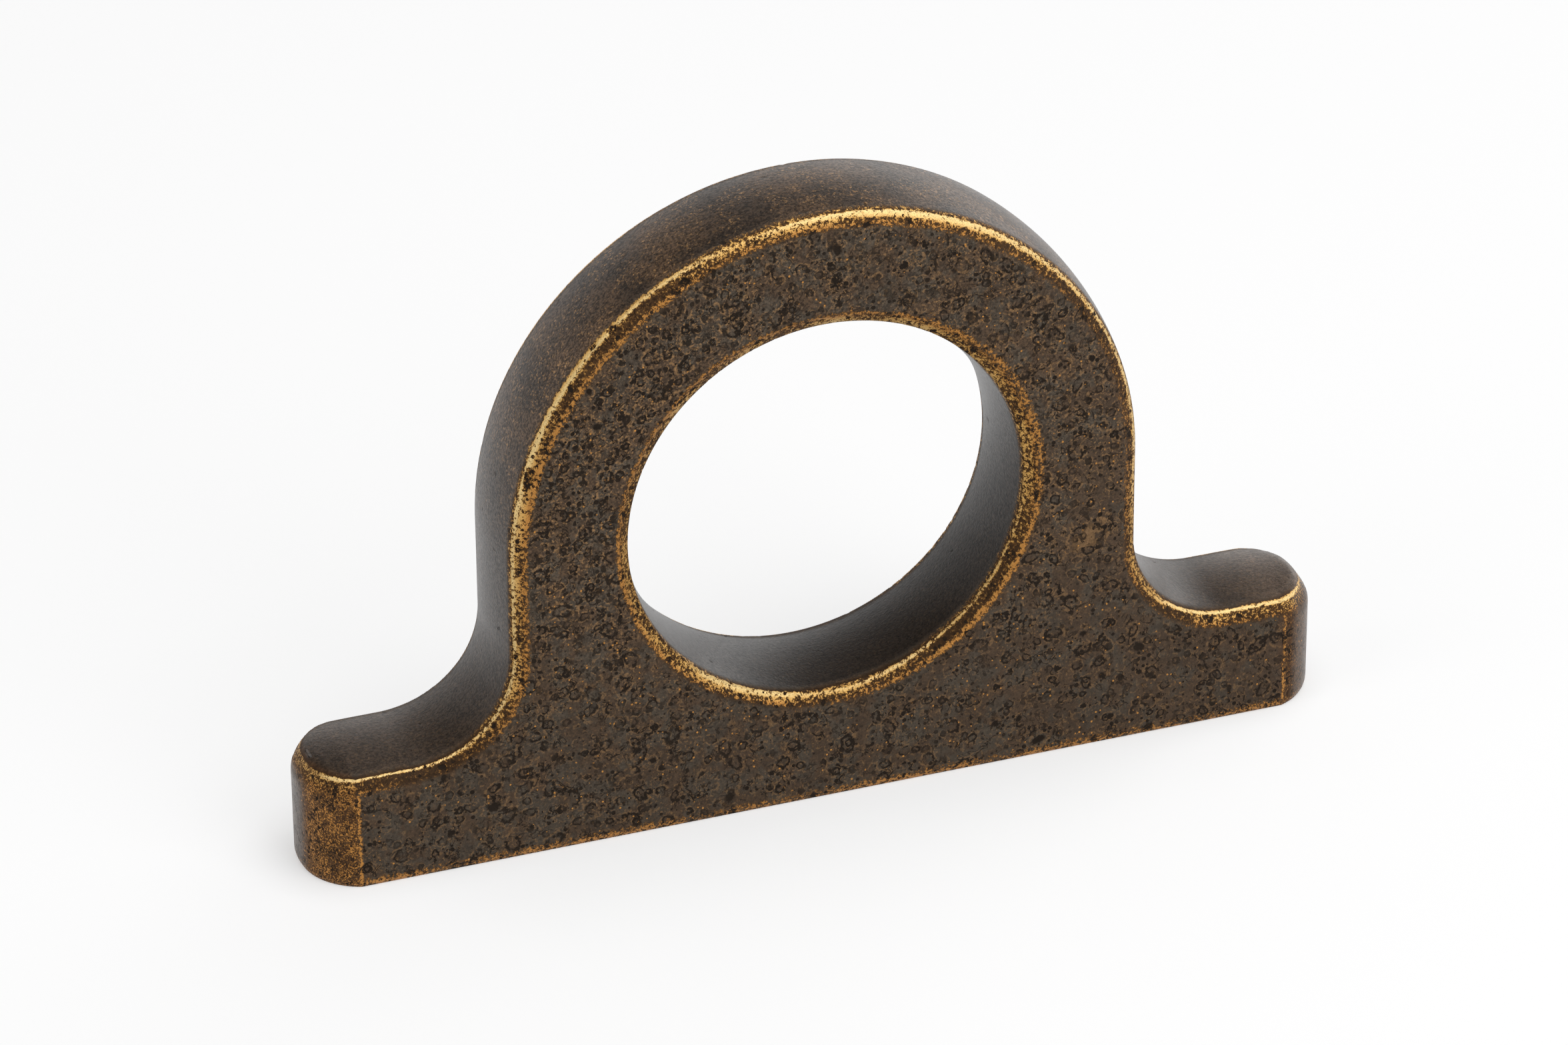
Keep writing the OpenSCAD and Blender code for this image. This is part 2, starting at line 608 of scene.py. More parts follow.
@dataclass
class CastSurface:
    """The pits, dents and waviness that the casting and its wear left on the form.

    Attributes:
        form: the form, in millimetres like all that follows.
        seed: starts the draws that scatter the marks.
        kinds: the scattered marks.
        wave_depth: how deep the waves of the whole skin are.
        wave_size: how long they are.
        bevel_wave: how much deeper the bevels' own waves go.
        bevel_wave_size: how long those are.
        bevel_wave_shift: moves them away from the skin's waves.
        bore_wave_share: their share on the finger hole's bevels.
        crease_wear: how far a crease has worn down.
        bore_crease_wear: the same round the finger hole.
        crease_reach: how far from a crease its wear reaches.
        end_fall: how far the top of a foot falls toward its tip.
        end_fall_from: the share of the foot's height that the fall leaves alone.
        end_lead: how far before the axis of a rounded end the fall starts.
        pressed_reach: how far from its middle a mark is pressed in, as a share of its half length.
        drawn_reach: how far from its middle a mark is written for the finish, as the same share.
        placed: the marks that have a known place.
        marks: all the marks, once they are scattered.
    """

    form: HandleForm
    seed: int = 41
    kinds: tuple[MarkKind, ...] = (
        MarkKind(Region.FACE, 520, (0.30, 0.62), 1.8, (0.05, 0.10), 0.90, 1.2),
        MarkKind(Region.BEVEL, 70, (0.18, 0.38), 2.0, (0.05, 0.10), 0.0, 1.6),
        MarkKind(Region.RIM, 50, (0.12, 0.26), 2.5, (0.02, 0.04), 0.0, 2.4),
    )
    wave_depth: float = 0.028
    wave_size: float = 5.5
    bevel_wave: float = 0.045
    bevel_wave_size: float = 1.9
    bevel_wave_shift: float = 7.0
    bore_wave_share: float = 0.25
    crease_wear: float = 0.09
    bore_crease_wear: float = 0.01
    crease_reach: float = 0.38
    end_fall: float = 0.24
    end_fall_from: float = 0.6
    end_lead: float = 0.6
    pressed_reach: float = 1.5
    drawn_reach: float = 1.9
    placed: tuple[PlacedMark, ...] = (
        PlacedMark((-23.25, -4.80, 31.86), 72.7, 1.50, 0.55, 0.22),
        PlacedMark((-11.06, -4.70, 45.75), 27.6, 0.62, 0.45, 0.20),
        PlacedMark((-16.70, -4.45, 43.20), 40.0, 0.70, 0.45, 0.16),
        PlacedMark((15.14, -4.80, 28.82), 105.6, 0.75, 0.50, 0.12, MarkShape.GROOVE),
        PlacedMark((20.60, -5.00, 18.30), 30.0, 1.70, 1.05, 0.08, MarkShape.FLAKE),
        PlacedMark((-18.10, -4.10, 41.90), 10.0, 0.50, 0.25, 0.08),
    )
    marks: list[Mark] = field(default_factory=list)

    def scatter(self, points: Points, normals: Points, facets: Points) -> None:
        """Picks where the marks lie, by seeded draws that keep them apart.

        Args:
            points: the shell's points.
            normals: the surface's normals there.
            facets: the facets' distances there.
        """
        draw = np.random.default_rng(self.seed)
        for mark in self.placed:
            i = int(np.argmin(np.linalg.norm(points - mark.near, axis=1)))
            turn = math.radians(mark.heading)
            along = np.array([math.cos(turn), 0.0, math.sin(turn)])
            along -= normals[i] * (along @ normals[i])
            along /= np.linalg.norm(along)
            self.marks.append(
                Mark(points[i], normals[i], along, mark.half_long, mark.half_wide, mark.depth, mark.shape)
            )
        for kind in self.kinds:
            pool = draw.permutation(np.flatnonzero(kind.region.holds(facets)))
            taken: list[Points] = []
            for i in pool:
                if len(taken) == kind.count:
                    break
                near = np.array(taken)
                if len(near) and (np.linalg.norm(near - points[i], axis=1) < kind.apart).any():
                    continue
                taken.append(points[i])
                half = draw.uniform(*kind.half_size)
                long = half * draw.uniform(1.0, kind.longest)
                heading = np.cross(normals[i], draw.normal(size=3))
                self.marks.append(
                    Mark(
                        place=points[i],
                        normal=normals[i],
                        along=heading / np.linalg.norm(heading),
                        half_long=long,
                        half_wide=half,
                        depth=draw.uniform(*kind.depth),
                        shape=MarkShape(draw.random() < kind.grooved),
                    )
                )

    @staticmethod
    def normals(points: Points, quads: np.ndarray) -> Points:
        """The outward normal at each point, from the faces round it.

        Args:
            points: the points.
            quads: the faces.

        Returns:
            One normal for each point.
        """
        a, b, c, d = (points[quads[:, i]] for i in range(4))
        across = np.cross(c - a, d - b)
        total = np.zeros_like(points)
        for i in range(4):
            np.add.at(total, quads[:, i], across)
        return total / np.linalg.norm(total, axis=1)[:, None]

    @staticmethod
    def search_tree(places: Points) -> KDTree:
        """A tree that finds which of these places are near another.

        Args:
            places: the places.

        Returns:
            The tree, which numbers them as they come.
        """
        tree = KDTree(len(places))
        for i, place in enumerate(places):
            tree.insert(place, i)
        tree.balance()
        return tree

    @staticmethod
    def waves(points: Points, size: float, shift: float) -> Points:
        """Smooth noise between 0 and 1 at each point, with lumps of this size in millimetres."""
        values = [noise.noise(Vector((x / size + shift, y / size, z / size))) for x, y, z in points]
        return np.clip(np.array(values) * 0.5 + 0.5, 0, 1)

    def press(self, points: Points, normals: Points, facets: Points) -> Points:
        """Sinks the waves, the worn creases and the marks into the surface.

        Args:
            points: the shell's points.
            normals: the surface's normals there.
            facets: the facets' distances there.

        Returns:
            The points after the wear, none of them outside the form.
        """
        base = facets[Facet.BASE] > -HAIR
        sunk = self.wave_depth * self.waves(points, self.wave_size, 0.0)
        next_facet = np.sort(facets, axis=0)[-2]
        at_bore = np.isin(facets.argmax(axis=0), (Facet.BORE, Facet.BORE_BEVEL))
        share = np.where(at_bore, self.bore_wave_share, 1.0) * Region.BEVEL.holds(facets)
        bevel_wave = share * self.bevel_wave
        sunk += bevel_wave * self.waves(points, self.bevel_wave_size, self.bevel_wave_shift)
        wear = np.where(at_bore, self.bore_crease_wear, self.crease_wear)
        sunk += wear * np.clip(1 + next_facet / self.crease_reach, 0, 1) ** 2
        tree = self.search_tree(points)
        pits = np.zeros(len(points))
        for mark in self.marks:
            near = mark.near(tree, normals, self.pressed_reach)
            pits[near] = np.maximum(pits[near], mark.sink(points[near]))
        sunk = np.where(base, 0.0, sunk + pits)
        worn = points - normals * sunk[:, None]
        run = np.abs(points[:, 0]) - self.form.corner_x + self.end_lead
        run = run / (self.form.corner_r + self.end_lead)
        upper = (points[:, 2] / self.form.foot_h - self.end_fall_from) / (1 - self.end_fall_from)
        worn[:, 2] -= self.end_fall * np.clip(run, 0, 1) ** 2 * np.clip(upper, 0, 1)
        return worn

    def corner_shares(self, points: Points, normals: Points, quads: np.ndarray) -> Points:
        """Each face corner's place on the mark nearest its face, for the finish to draw the mark by.

        Args:
            points: the shell's points before the wear.
            normals: the surface's normals there.
            quads: the shell's faces.

        Returns:
            For each face and corner the two shares and the shape of the mark.
        """
        middles, facing = points[quads].mean(axis=1), normals[quads].mean(axis=1)
        tree = self.search_tree(middles)
        nearest = np.full(len(quads), UNMARKED)
        shares = np.full((*quads.shape, 3), UNMARKED)
        shares[..., 2] = MarkShape.DISH
        for mark in self.marks:
            near = mark.near(tree, facing, self.drawn_reach)
            r = np.hypot(*mark.shares(middles[near]).T)
            closer = r < nearest[near]
            won = near[closer]
            nearest[won] = r[closer]
            shares[won, :, :2] = mark.shares(points[quads[won]])
            shares[won, :, 2] = mark.shape
        return shares


@dataclass(frozen=True)
class ScrewHole:
    """A blind M4 hole in the base: a countersunk mouth, a cut thread and the cone that the drill left.

    Attributes:
        drill_r: radius of the tapping drill, in millimetres like all lengths that follow.
        thread_r: radius of the thread at its roots.
        pitch: distance between two turns of the thread.
        depth: depth of the hole to the start of the cone.
        mouth: width of the countersink.
        thread_end: depth at which the thread has run out.
        point_deg: the angle of the cone, in degrees.
        thread_flat: how far the thread's crests and roots are cut flat, as a share of its height.
        sides: how many sides the wall has.
        rows_a_pitch: how many rows of faces one turn takes.
    """

    drill_r: float = 1.65
    thread_r: float = 2.0
    pitch: float = 0.7
    depth: float = 7.1
    mouth: float = 0.4
    thread_end: float = 6.2
    point_deg: float = 118.0
    thread_flat: float = 0.125
    sides: int = 36
    rows_a_pitch: int = 7

    @property
    def mouth_r(self) -> float:
        """Radius of the countersink at the base."""
        return self.drill_r + self.mouth

    def build(self, x: float) -> tuple[Points, list[tuple[int, ...]]]:
        """Makes the wall of the hole at this place along the base.

        Args:
            x: where the hole's axis is.

        Returns:
            Its points, with the mouth's own circle first, and its faces, seen from inside the hole.
        """
        rows = np.arange(0, self.depth, self.pitch / self.rows_a_pitch)
        rows = np.append(rows, self.depth)
        turn = np.arange(self.sides) / self.sides
        z, t = np.meshgrid(rows, turn, indexing="ij")
        wave = np.abs(((z / self.pitch - t) % 1.0) * 2 - 1)
        profile = wave * (1 + 2 * self.thread_flat) - self.thread_flat
        cut = np.clip(profile, 0, 1) * np.clip((self.thread_end - z) / self.pitch, 0, 1)
        wall = self.drill_r + (self.thread_r - self.drill_r) * cut
        radius = np.where(z == 0, self.mouth_r, np.maximum(wall, self.mouth_r - z))
        angle = 2 * math.pi * t
        places = np.stack([x + radius * np.cos(angle), radius * np.sin(angle), z], axis=-1).reshape(-1, 3)
        tip = self.depth + self.drill_r / math.tan(math.radians(self.point_deg / 2))
        places = np.vstack([places, [x, 0.0, tip]])
        faces: list[tuple[int, ...]] = []
        for row in range(len(rows) - 1):
            for side in range(self.sides):
                a, b = row * self.sides + side, row * self.sides + (side + 1) % self.sides
                faces.append((a, a + self.sides, b + self.sides, b))
        last = (len(rows) - 1) * self.sides
        faces += [(last + i, len(places) - 1, last + (i + 1) % self.sides) for i in range(self.sides)]
        return places, faces


class FinishSlot(IntEnum):
    """The materials of the casting, in the order of its slots."""

    AGED = 0
    GROUND = 1
    THREAD = 2


@dataclass
class MeshDraft:
    """A mesh being gathered from parts.

    Attributes:
        points: the points of each part.
        faces: all the faces.
        slots: the material slot of each face.
        smooth: whether each face is shaded smooth.
        marks: where the face corners of each part lie on the casting marks.
        count: how many points there are so far.
    """

    points: list[Points] = field(default_factory=list)
    faces: list[tuple[int, ...]] = field(default_factory=list)
    slots: list[int] = field(default_factory=list)
    smooth: list[bool] = field(default_factory=list)
    marks: list[Points] = field(default_factory=list)
    count: int = 0

    def add(
        self,
        points: Points,
        faces: Sequence[Sequence[int]],
        slot: int,
        smooth: bool,
        marks: Points | None = None,
    ) -> None:
        """Adds a part whose faces are numbered from the draft's first point.

        Args:
            points: the part's own new points.
            faces: its faces.
            slot: the material slot of its faces.
            smooth: whether its faces are shaded smooth.
            marks: where its face corners lie on the casting marks, if anywhere.
        """
        self.points.append(points)
        self.count += len(points)
        self.faces.extend(tuple(map(int, face)) for face in faces)
        self.slots.extend([slot] * len(faces))
        self.smooth.extend([smooth] * len(faces))
        corners = sum(map(len, faces))
        away = np.tile([UNMARKED, UNMARKED, MarkShape.DISH], (corners, 1))
        self.marks.append(away if marks is None else marks.reshape(-1, 3))


@dataclass
class Casting:
    """The handle itself: the worn casting, its ground base and the two threaded holes in the base.

    Attributes:
        form: the form, in millimetres like all lengths that follow.
        net: casts the form's mesh.
        surface: presses in the marks and the wear.
        screw: the hole that is cut into each foot.
        screw_x: distance from the middle to the axis of a hole.
        base_step: distance between the points inside the flat base.
        clear: room between those points and the base's border or a hole.
    """

    form: HandleForm
    net: NetCast
    surface: CastSurface
    screw: ScrewHole = ScrewHole()
    screw_x: float = 32.0
    base_step: float = 1.3
    clear: float = 0.5

    def base_fill(self, border: Points, rings: Sequence[Points]) -> tuple[Points, list[tuple[int, ...]]]:
        """Fills the flat base between its border and the mouths of the holes.

        Args:
            border: the border's points, in order round it.
            rings: the points round each hole's mouth.

        Returns:
            New points inside the base, and faces numbered over the border, the rings and the new points.
        """
        form, edges, first = self.form, [], 0
        for loop in (border, *rings):
            edges += [(first + i, first + (i + 1) % len(loop)) for i in range(len(loop))]
            first += len(loop)
        x = np.arange(-form.half_len, form.half_len, self.base_step)
        y = np.linspace(-form.face_y, form.face_y, round(2 * form.face_y / self.base_step))
        spots = np.stack(np.meshgrid(x, y), axis=-1).reshape(-1, 2)
        spots = spots[form.outside_end(spots[:, 0], spots[:, 1]) < -form.base_bevel - self.clear]
        spots = spots[np.abs(spots[:, 1]) < form.face_y - form.base_bevel - self.clear]
        for ring in rings:
            middle = ring[:, :2].mean(axis=0)
            radius = np.linalg.norm(ring[0, :2] - middle)
            spots = spots[np.linalg.norm(spots - middle, axis=1) > radius + self.clear]
        flat = np.concatenate([border[:, :2], *[ring[:, :2] for ring in rings], spots])
        _, _, faces, origin, _, _ = delaunay_2d_cdt([Vector(p) for p in flat], edges, [], 1, HAIR, True)
        kept = []
        for face in faces:
            corners = [origin[i][0] for i in face]
            middle = flat[corners].mean(axis=0)
            far = [np.linalg.norm(middle - ring[:, :2].mean(axis=0)) for ring in rings]
            if min(far) >= self.screw.mouth_r:
                kept.append(tuple(reversed(corners)))
        return np.column_stack([spots, np.zeros(len(spots))]), kept

    @staticmethod
    def border_of(quads: np.ndarray) -> list[int]:
        """Follows the open edges of these faces once round.

        Args:
            quads: faces with one loop of open edges.

        Returns:
            The points of that loop, in order.
        """
        sides = {(int(face[i]), int(face[(i + 1) % 4])) for face in quads for i in range(4)}
        after = {b: a for a, b in sides if (b, a) not in sides}
        loop = [next(iter(after))]
        while after[loop[-1]] != loop[0]:
            loop.append(after[loop[-1]])
        return loop

    def draft(self) -> tuple[MeshDraft, Points]:
        """Casts the shell, wears it, closes its base and cuts the threads.

        Returns:
            The draft, and the places of its points before the wear.
        """
        shell = self.net.cast()
        points, quads = shell.points, shell.quads
        facets = self.form.facets(points)
        normals = self.surface.normals(points, quads)
        self.surface.scatter(points, normals, facets)
        worn = self.surface.press(points, normals, facets)
        flat = (np.abs(points[:, 2]) < HAIR)[quads].all(axis=1)
        shell_quads = quads[~flat]
        shares = self.surface.corner_shares(points, normals, shell_quads)
        used = np.unique(shell_quads)
        number = np.full(len(points), -1)
        number[used] = np.arange(len(used))
        shell_quads = number[shell_quads]
        draft = MeshDraft()
        draft.add(worn[used], shell_quads, FinishSlot.AGED, True, shares)
        border = self.border_of(shell_quads)
        spots, rings, ring_ids = [points[used]], [], []
        for side in (-1, 1):
            wall, faces = self.screw.build(side * self.screw_x)
            first = draft.count
            draft.add(wall, [tuple(i + first for i in face) for face in faces], FinishSlot.THREAD, True)
            spots.append(wall)
            rings.append(wall[: self.screw.sides])
            ring_ids += list(range(first, first + self.screw.sides))
        inner, faces = self.base_fill(worn[used][border], rings)
        ids = [*border, *ring_ids, *range(draft.count, draft.count + len(inner))]
        draft.add(inner, [tuple(ids[i] for i in face) for face in faces], FinishSlot.GROUND, False)
        spots.append(inner)
        return draft, np.concatenate(spots)

    def insets(self, cast: Points) -> Points:
        """How far each place lies inside the outline's crease and the finger hole's, and above the base.

        Args:
            cast: the places before the wear.

        Returns:
            Those three distances for each place.
        """
        x, y, z = cast.T
        deep = np.minimum(self.form.face_y - np.abs(y), -self.form.outside_end(x, y))
        around = np.maximum(deep - self.form.bevel_d, 0)
        outer = -(self.form.outside_rim(x, z) + self.form.face_drop)
        bore = -(self.form.outside_bore(x, z) + self.form.face_drop)
        outer = np.where(outer < 0, outer - around, outer)
        bore = np.where(bore < 0, bore - around, bore)
        return np.stack([outer, bore, z], axis=1)

    def build(self, materials: Sequence[bpy.types.Material]) -> bpy.types.Object:
        """Makes the casting's object and hands it to the frame in place of the plain solid.

        Args:
            materials: the finishes, in the order of the slots.

        Returns:
            The object.
        """
        draft, cast = self.draft()
        mesh = bpy.data.meshes.new("handle_casting")
        mesh.from_pydata((np.concatenate(draft.points) * MM).tolist(), [], draft.faces)
        mesh.polygons.foreach_set("material_index", draft.slots)
        mesh.polygons.foreach_set("use_smooth", draft.smooth)
        carried = (
            (CAST_PLACE, "POINT", cast),
            (INSETS, "POINT", self.insets(cast)),
            (ON_MARK, "CORNER", np.concatenate(draft.marks)),
        )
        for name, domain, values in carried:
            mesh.attributes.new(name, "FLOAT_VECTOR", domain).data.foreach_set("vector", values.ravel())
        mesh.update()
        casting = bpy.data.objects.new("handle_casting", mesh)
        bpy.context.scene.collection.objects.link(casting)
        for material in materials:
            mesh.materials.append(material)
        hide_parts(NODE)
        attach(casting, BODY)
        return casting


class Signal:
    """An output socket of a node; sums written with it add Math nodes."""

    def __init__(self, plan: "NodePlan", socket: bpy.types.NodeSocket) -> None:
        """Wraps this socket of the plan's tree."""
        self.plan = plan
        self.socket = socket

    def _math(self, operation: str, *terms: "Signal | float") -> "Signal":
        """Adds the Math node for one step of a sum."""
        return self.plan.add("ShaderNodeMath", {"operation": operation}, dict(enumerate(terms)))

    def __add__(self, other: "Signal | float") -> "Signal":
        """This plus the other."""
        return self._math("ADD", self, other)

    __radd__ = __add__

    def __sub__(self, other: "Signal | float") -> "Signal":
        """This less the other."""
        return self._math("SUBTRACT", self, other)

    def __rsub__(self, other: float) -> "Signal":
        """The other less this."""
        return self._math("SUBTRACT", other, self)

    def __mul__(self, other: "Signal | float") -> "Signal":
        """This times the other."""
        return self._math("MULTIPLY", self, other)

    __rmul__ = __mul__

    def __truediv__(self, other: "Signal | float") -> "Signal":
        """This divided by the other."""
        return self._math("DIVIDE", self, other)

    def __pow__(self, other: float) -> "Signal":
        """This raised to a power."""
        return self._math("POWER", self, other)

    def __abs__(self) -> "Signal":
        """This without its sign."""
        return self._math("ABSOLUTE", self)

    def angle_from(self, across: "Signal") -> "Signal":
        """The angle whose rise is this and whose run is across, in degrees."""
        return self._math("ARCTAN2", self, across) * math.degrees(1)

    def between(self, low: float, high: float) -> "Signal":
        """Stretches 0 to 1 over low to high."""
        return self * (high - low) + low

    def least(self, other: "Signal | float") -> "Signal":
        """The smaller of the two."""
        return self._math("MINIMUM", self, other)

    def most(self, other: "Signal | float") -> "Signal":
        """The larger of the two."""
        return self._math("MAXIMUM", self, other)

    def rise(self, low: float, high: float) -> "Signal":
        """Goes smoothly from 0 at low to 1 at high."""
        sockets = {"Value": self, "From Min": low, "From Max": high}
        return self.plan.add("ShaderNodeMapRange", {"interpolation_type": "SMOOTHSTEP"}, sockets)

    def fall(self, low: float, high: float) -> "Signal":
        """Goes smoothly from 1 at low to 0 at high."""
        return 1 - self.rise(low, high)

    def bump(self, middle: float, half: float) -> "Signal":
        """Is 1 at the middle and falls smoothly to 0 at half a width from it."""
        return abs(self - middle).fall(0.0, half)


Setting = Signal | float | tuple[float, ...]


class NodePlan:
    """Builds the node tree of one material or of the world."""

    # A Mix node's colour sockets, which share their names with its sockets for numbers
    MIX_SHARE, MIX_LOW, MIX_HIGH, MIX_OUT = 0, 6, 7, 2

    def __init__(self, tree: bpy.types.NodeTree) -> None:
        """Starts from an empty tree."""
        self.tree = tree
        tree.nodes.clear()

    def add(
        self,
        kind: str,
        settings: dict[str, object] | None = None,
        sockets: dict[str | int, Setting] | None = None,
        out: str | int = 0,
    ) -> Signal:
        """Adds a node.

        Args:
            kind: the node's type.
            settings: its own settings, which are set first; "stops" are a ramp's places and colours.
            sockets: what goes into its sockets, by name or number.
            out: the output that is returned.

        Returns:
            The chosen output, or for a node with none the node's wrapper without one.
        """
        node = self.tree.nodes.new(kind)
        for name, value in (settings or {}).items():
            if name == "stops":
                self.set_stops(node.color_ramp, value)
            else:
                setattr(node, name, value)
        for name, value in (sockets or {}).items():
            if isinstance(value, Signal):
                self.tree.links.new(value.socket, node.inputs[name])
            else:
                node.inputs[name].default_value = value
        return Signal(self, node.outputs[out] if node.outputs else None)

    @staticmethod
    def set_stops(ramp: bpy.types.ColorRamp, stops: Sequence[tuple[float, Tone]]) -> None:
        """Sets a ramp's stops, each a place and a colour.

        Args:
            ramp: the ramp.
            stops: the places and colours, in order.
        """
        while len(ramp.elements) < len(stops):
            ramp.elements.new(1.0)
        for element, (place, tone) in zip(ramp.elements, stops):
            element.position = place
            element.color = (*tone, 1.0)

    def carried(self, name: str) -> Signal:
        """Reads what the mesh carries under this name, as a vector."""
        return self.add("ShaderNodeAttribute", {"attribute_name": name}, out="Vector")

    def parts(self, vector: Signal) -> tuple[Signal, Signal, Signal]:
        """Splits a vector in three."""
        split = self.add("ShaderNodeSeparateXYZ", sockets={"Vector": vector})
        return tuple(Signal(self, socket) for socket in split.socket.node.outputs)

    def rays(self, *kinds: str) -> list[Signal]:
        """One signal for each kind of ray, which is 1 on such a ray and 0 on any other."""
        paths = self.add("ShaderNodeLightPath").socket.node.outputs
        return [Signal(self, paths[f"Is {kind} Ray"]) for kind in kinds]

    def noise(
        self,
        at: Signal,
        size: float,
        detail: float = 2.0,
        rough: float = 0.5,
        twist: float = 0.0,
        out: str = "Fac",
    ) -> Signal:
        """Cloudy noise about 0.5, whose largest lumps have this size in millimetres."""
        sockets = {"Scale": 1 / size, "Detail": detail, "Roughness": rough, "Distortion": twist}
        return self.add("ShaderNodeTexNoise", sockets={"Vector": at, **sockets}, out=out)

    def patches(
        self, at: Signal, size: float, edge: Span, detail: float = 2.0, rough: float = 0.5
    ) -> Signal:
        """Cloudy patches, which go from 0 to 1 as noise of this size rises over the edge's two values."""
        return self.noise(at, size, detail, rough).rise(*edge)

    def cells(self, at: Signal, size: float, out: str = "Distance") -> Signal:
        """Distance to the nearest of scattered points, as a share of their spacing, or its colour."""
        return self.add("ShaderNodeTexVoronoi", sockets={"Vector": at, "Scale": 1 / size}, out=out)

    def blend(self, share: Signal | float, low: Signal | Tone, high: Signal | Tone) -> Signal:
        """Mixes two colours: low where the share is 0 and high where it is 1.

        Args:
            share: how much of the second shows.
            low: the first colour.
            high: the second colour.

        Returns:
            The mixed colour.
        """
        sides = [side if isinstance(side, Signal) else (*side, 1.0) for side in (low, high)]
        sockets = {self.MIX_SHARE: share, self.MIX_LOW: sides[0], self.MIX_HIGH: sides[1]}
        return self.add("ShaderNodeMix", {"data_type": "RGBA"}, sockets, self.MIX_OUT)

    def vector(self, operation: str, sockets: dict[str | int, Setting]) -> Signal:
        """Adds the Vector Math node for one step of a sum of vectors or colours."""
        return self.add("ShaderNodeVectorMath", {"operation": operation}, sockets)

    def tint(self, colour: Signal, strength: Signal) -> Signal:
        """Makes a colour brighter or darker by this factor."""
        return self.vector("SCALE", {"Vector": colour, "Scale": strength})

    def relief(self, height: Signal, depth: float, strength: float) -> Signal:
        """Bends the surface's normal by this height, whose full depth is in millimetres."""
        sockets = {"Strength": strength, "Distance": depth * MM, "Height": height}
        return self.add("ShaderNodeBump", sockets=sockets, out="Normal")

    def metal(self, sockets: dict[str | int, Setting]) -> None:
        """Ends the tree in one Principled surface with these sockets."""
        surface = self.add("ShaderNodeBsdfPrincipled", sockets=sockets)
        self.add("ShaderNodeOutputMaterial", sockets={"Surface": surface})


class Finish(ABC):
    """A finish, which makes its own material.

    Attributes:
        name: what the material is called.
    """

    name: ClassVar[str]

    @abstractmethod
    def paint(self, plan: NodePlan) -> None:
        """Lays out the nodes of the finish."""

    def build(self) -> bpy.types.Material:
        """Makes the material.

        Returns:
            The material, with the nodes of the finish in it.
        """
        material = bpy.data.materials.new(self.name)
        material.use_nodes = True
        self.paint(NodePlan(material.node_tree))
        log.info("%s: %d nodes", self.name, len(material.node_tree.nodes))
        return material


@dataclass(frozen=True)
class Spot:
    """Where the finish is being worked out: a place on the casting before its wear.

    Attributes:
        at: the place, in millimetres like all that follows.
        x: the place along the handle.
        y: the place through its thickness.
        z: the height above the base.
        outer: distance in from the crease along the outline.
        bore: distance in from the crease round the finger hole.
    """

    at: Signal
    x: Signal
    y: Signal
    z: Signal
    outer: Signal
    bore: Signal

    @classmethod
    def read(cls, plan: NodePlan) -> "Spot":
        """Reads the place and the distances that the mesh carries.

        Args:
            plan: the finish's node tree.

        Returns:
            The spot.
        """
        at = plan.carried(CAST_PLACE)
        outer, bore, _ = plan.parts(plan.carried(INSETS))
        return cls(at, *plan.parts(at), outer, bore)

    @property
    def inset(self) -> Signal:
        """Distance in from the nearer of the two creases."""
        return self.outer.least(self.bore)


@dataclass(frozen=True)
class Pitting:
    """How pitted a place is, with each share from 0 to 1.

    Attributes:
        dark: how dark the pits are.
        rim: how strongly the painted highlight on their raised rims shows.
        bared: how far a flake has bared the brass.
    """

    dark: Signal
    rim: Signal
    bared: Signal


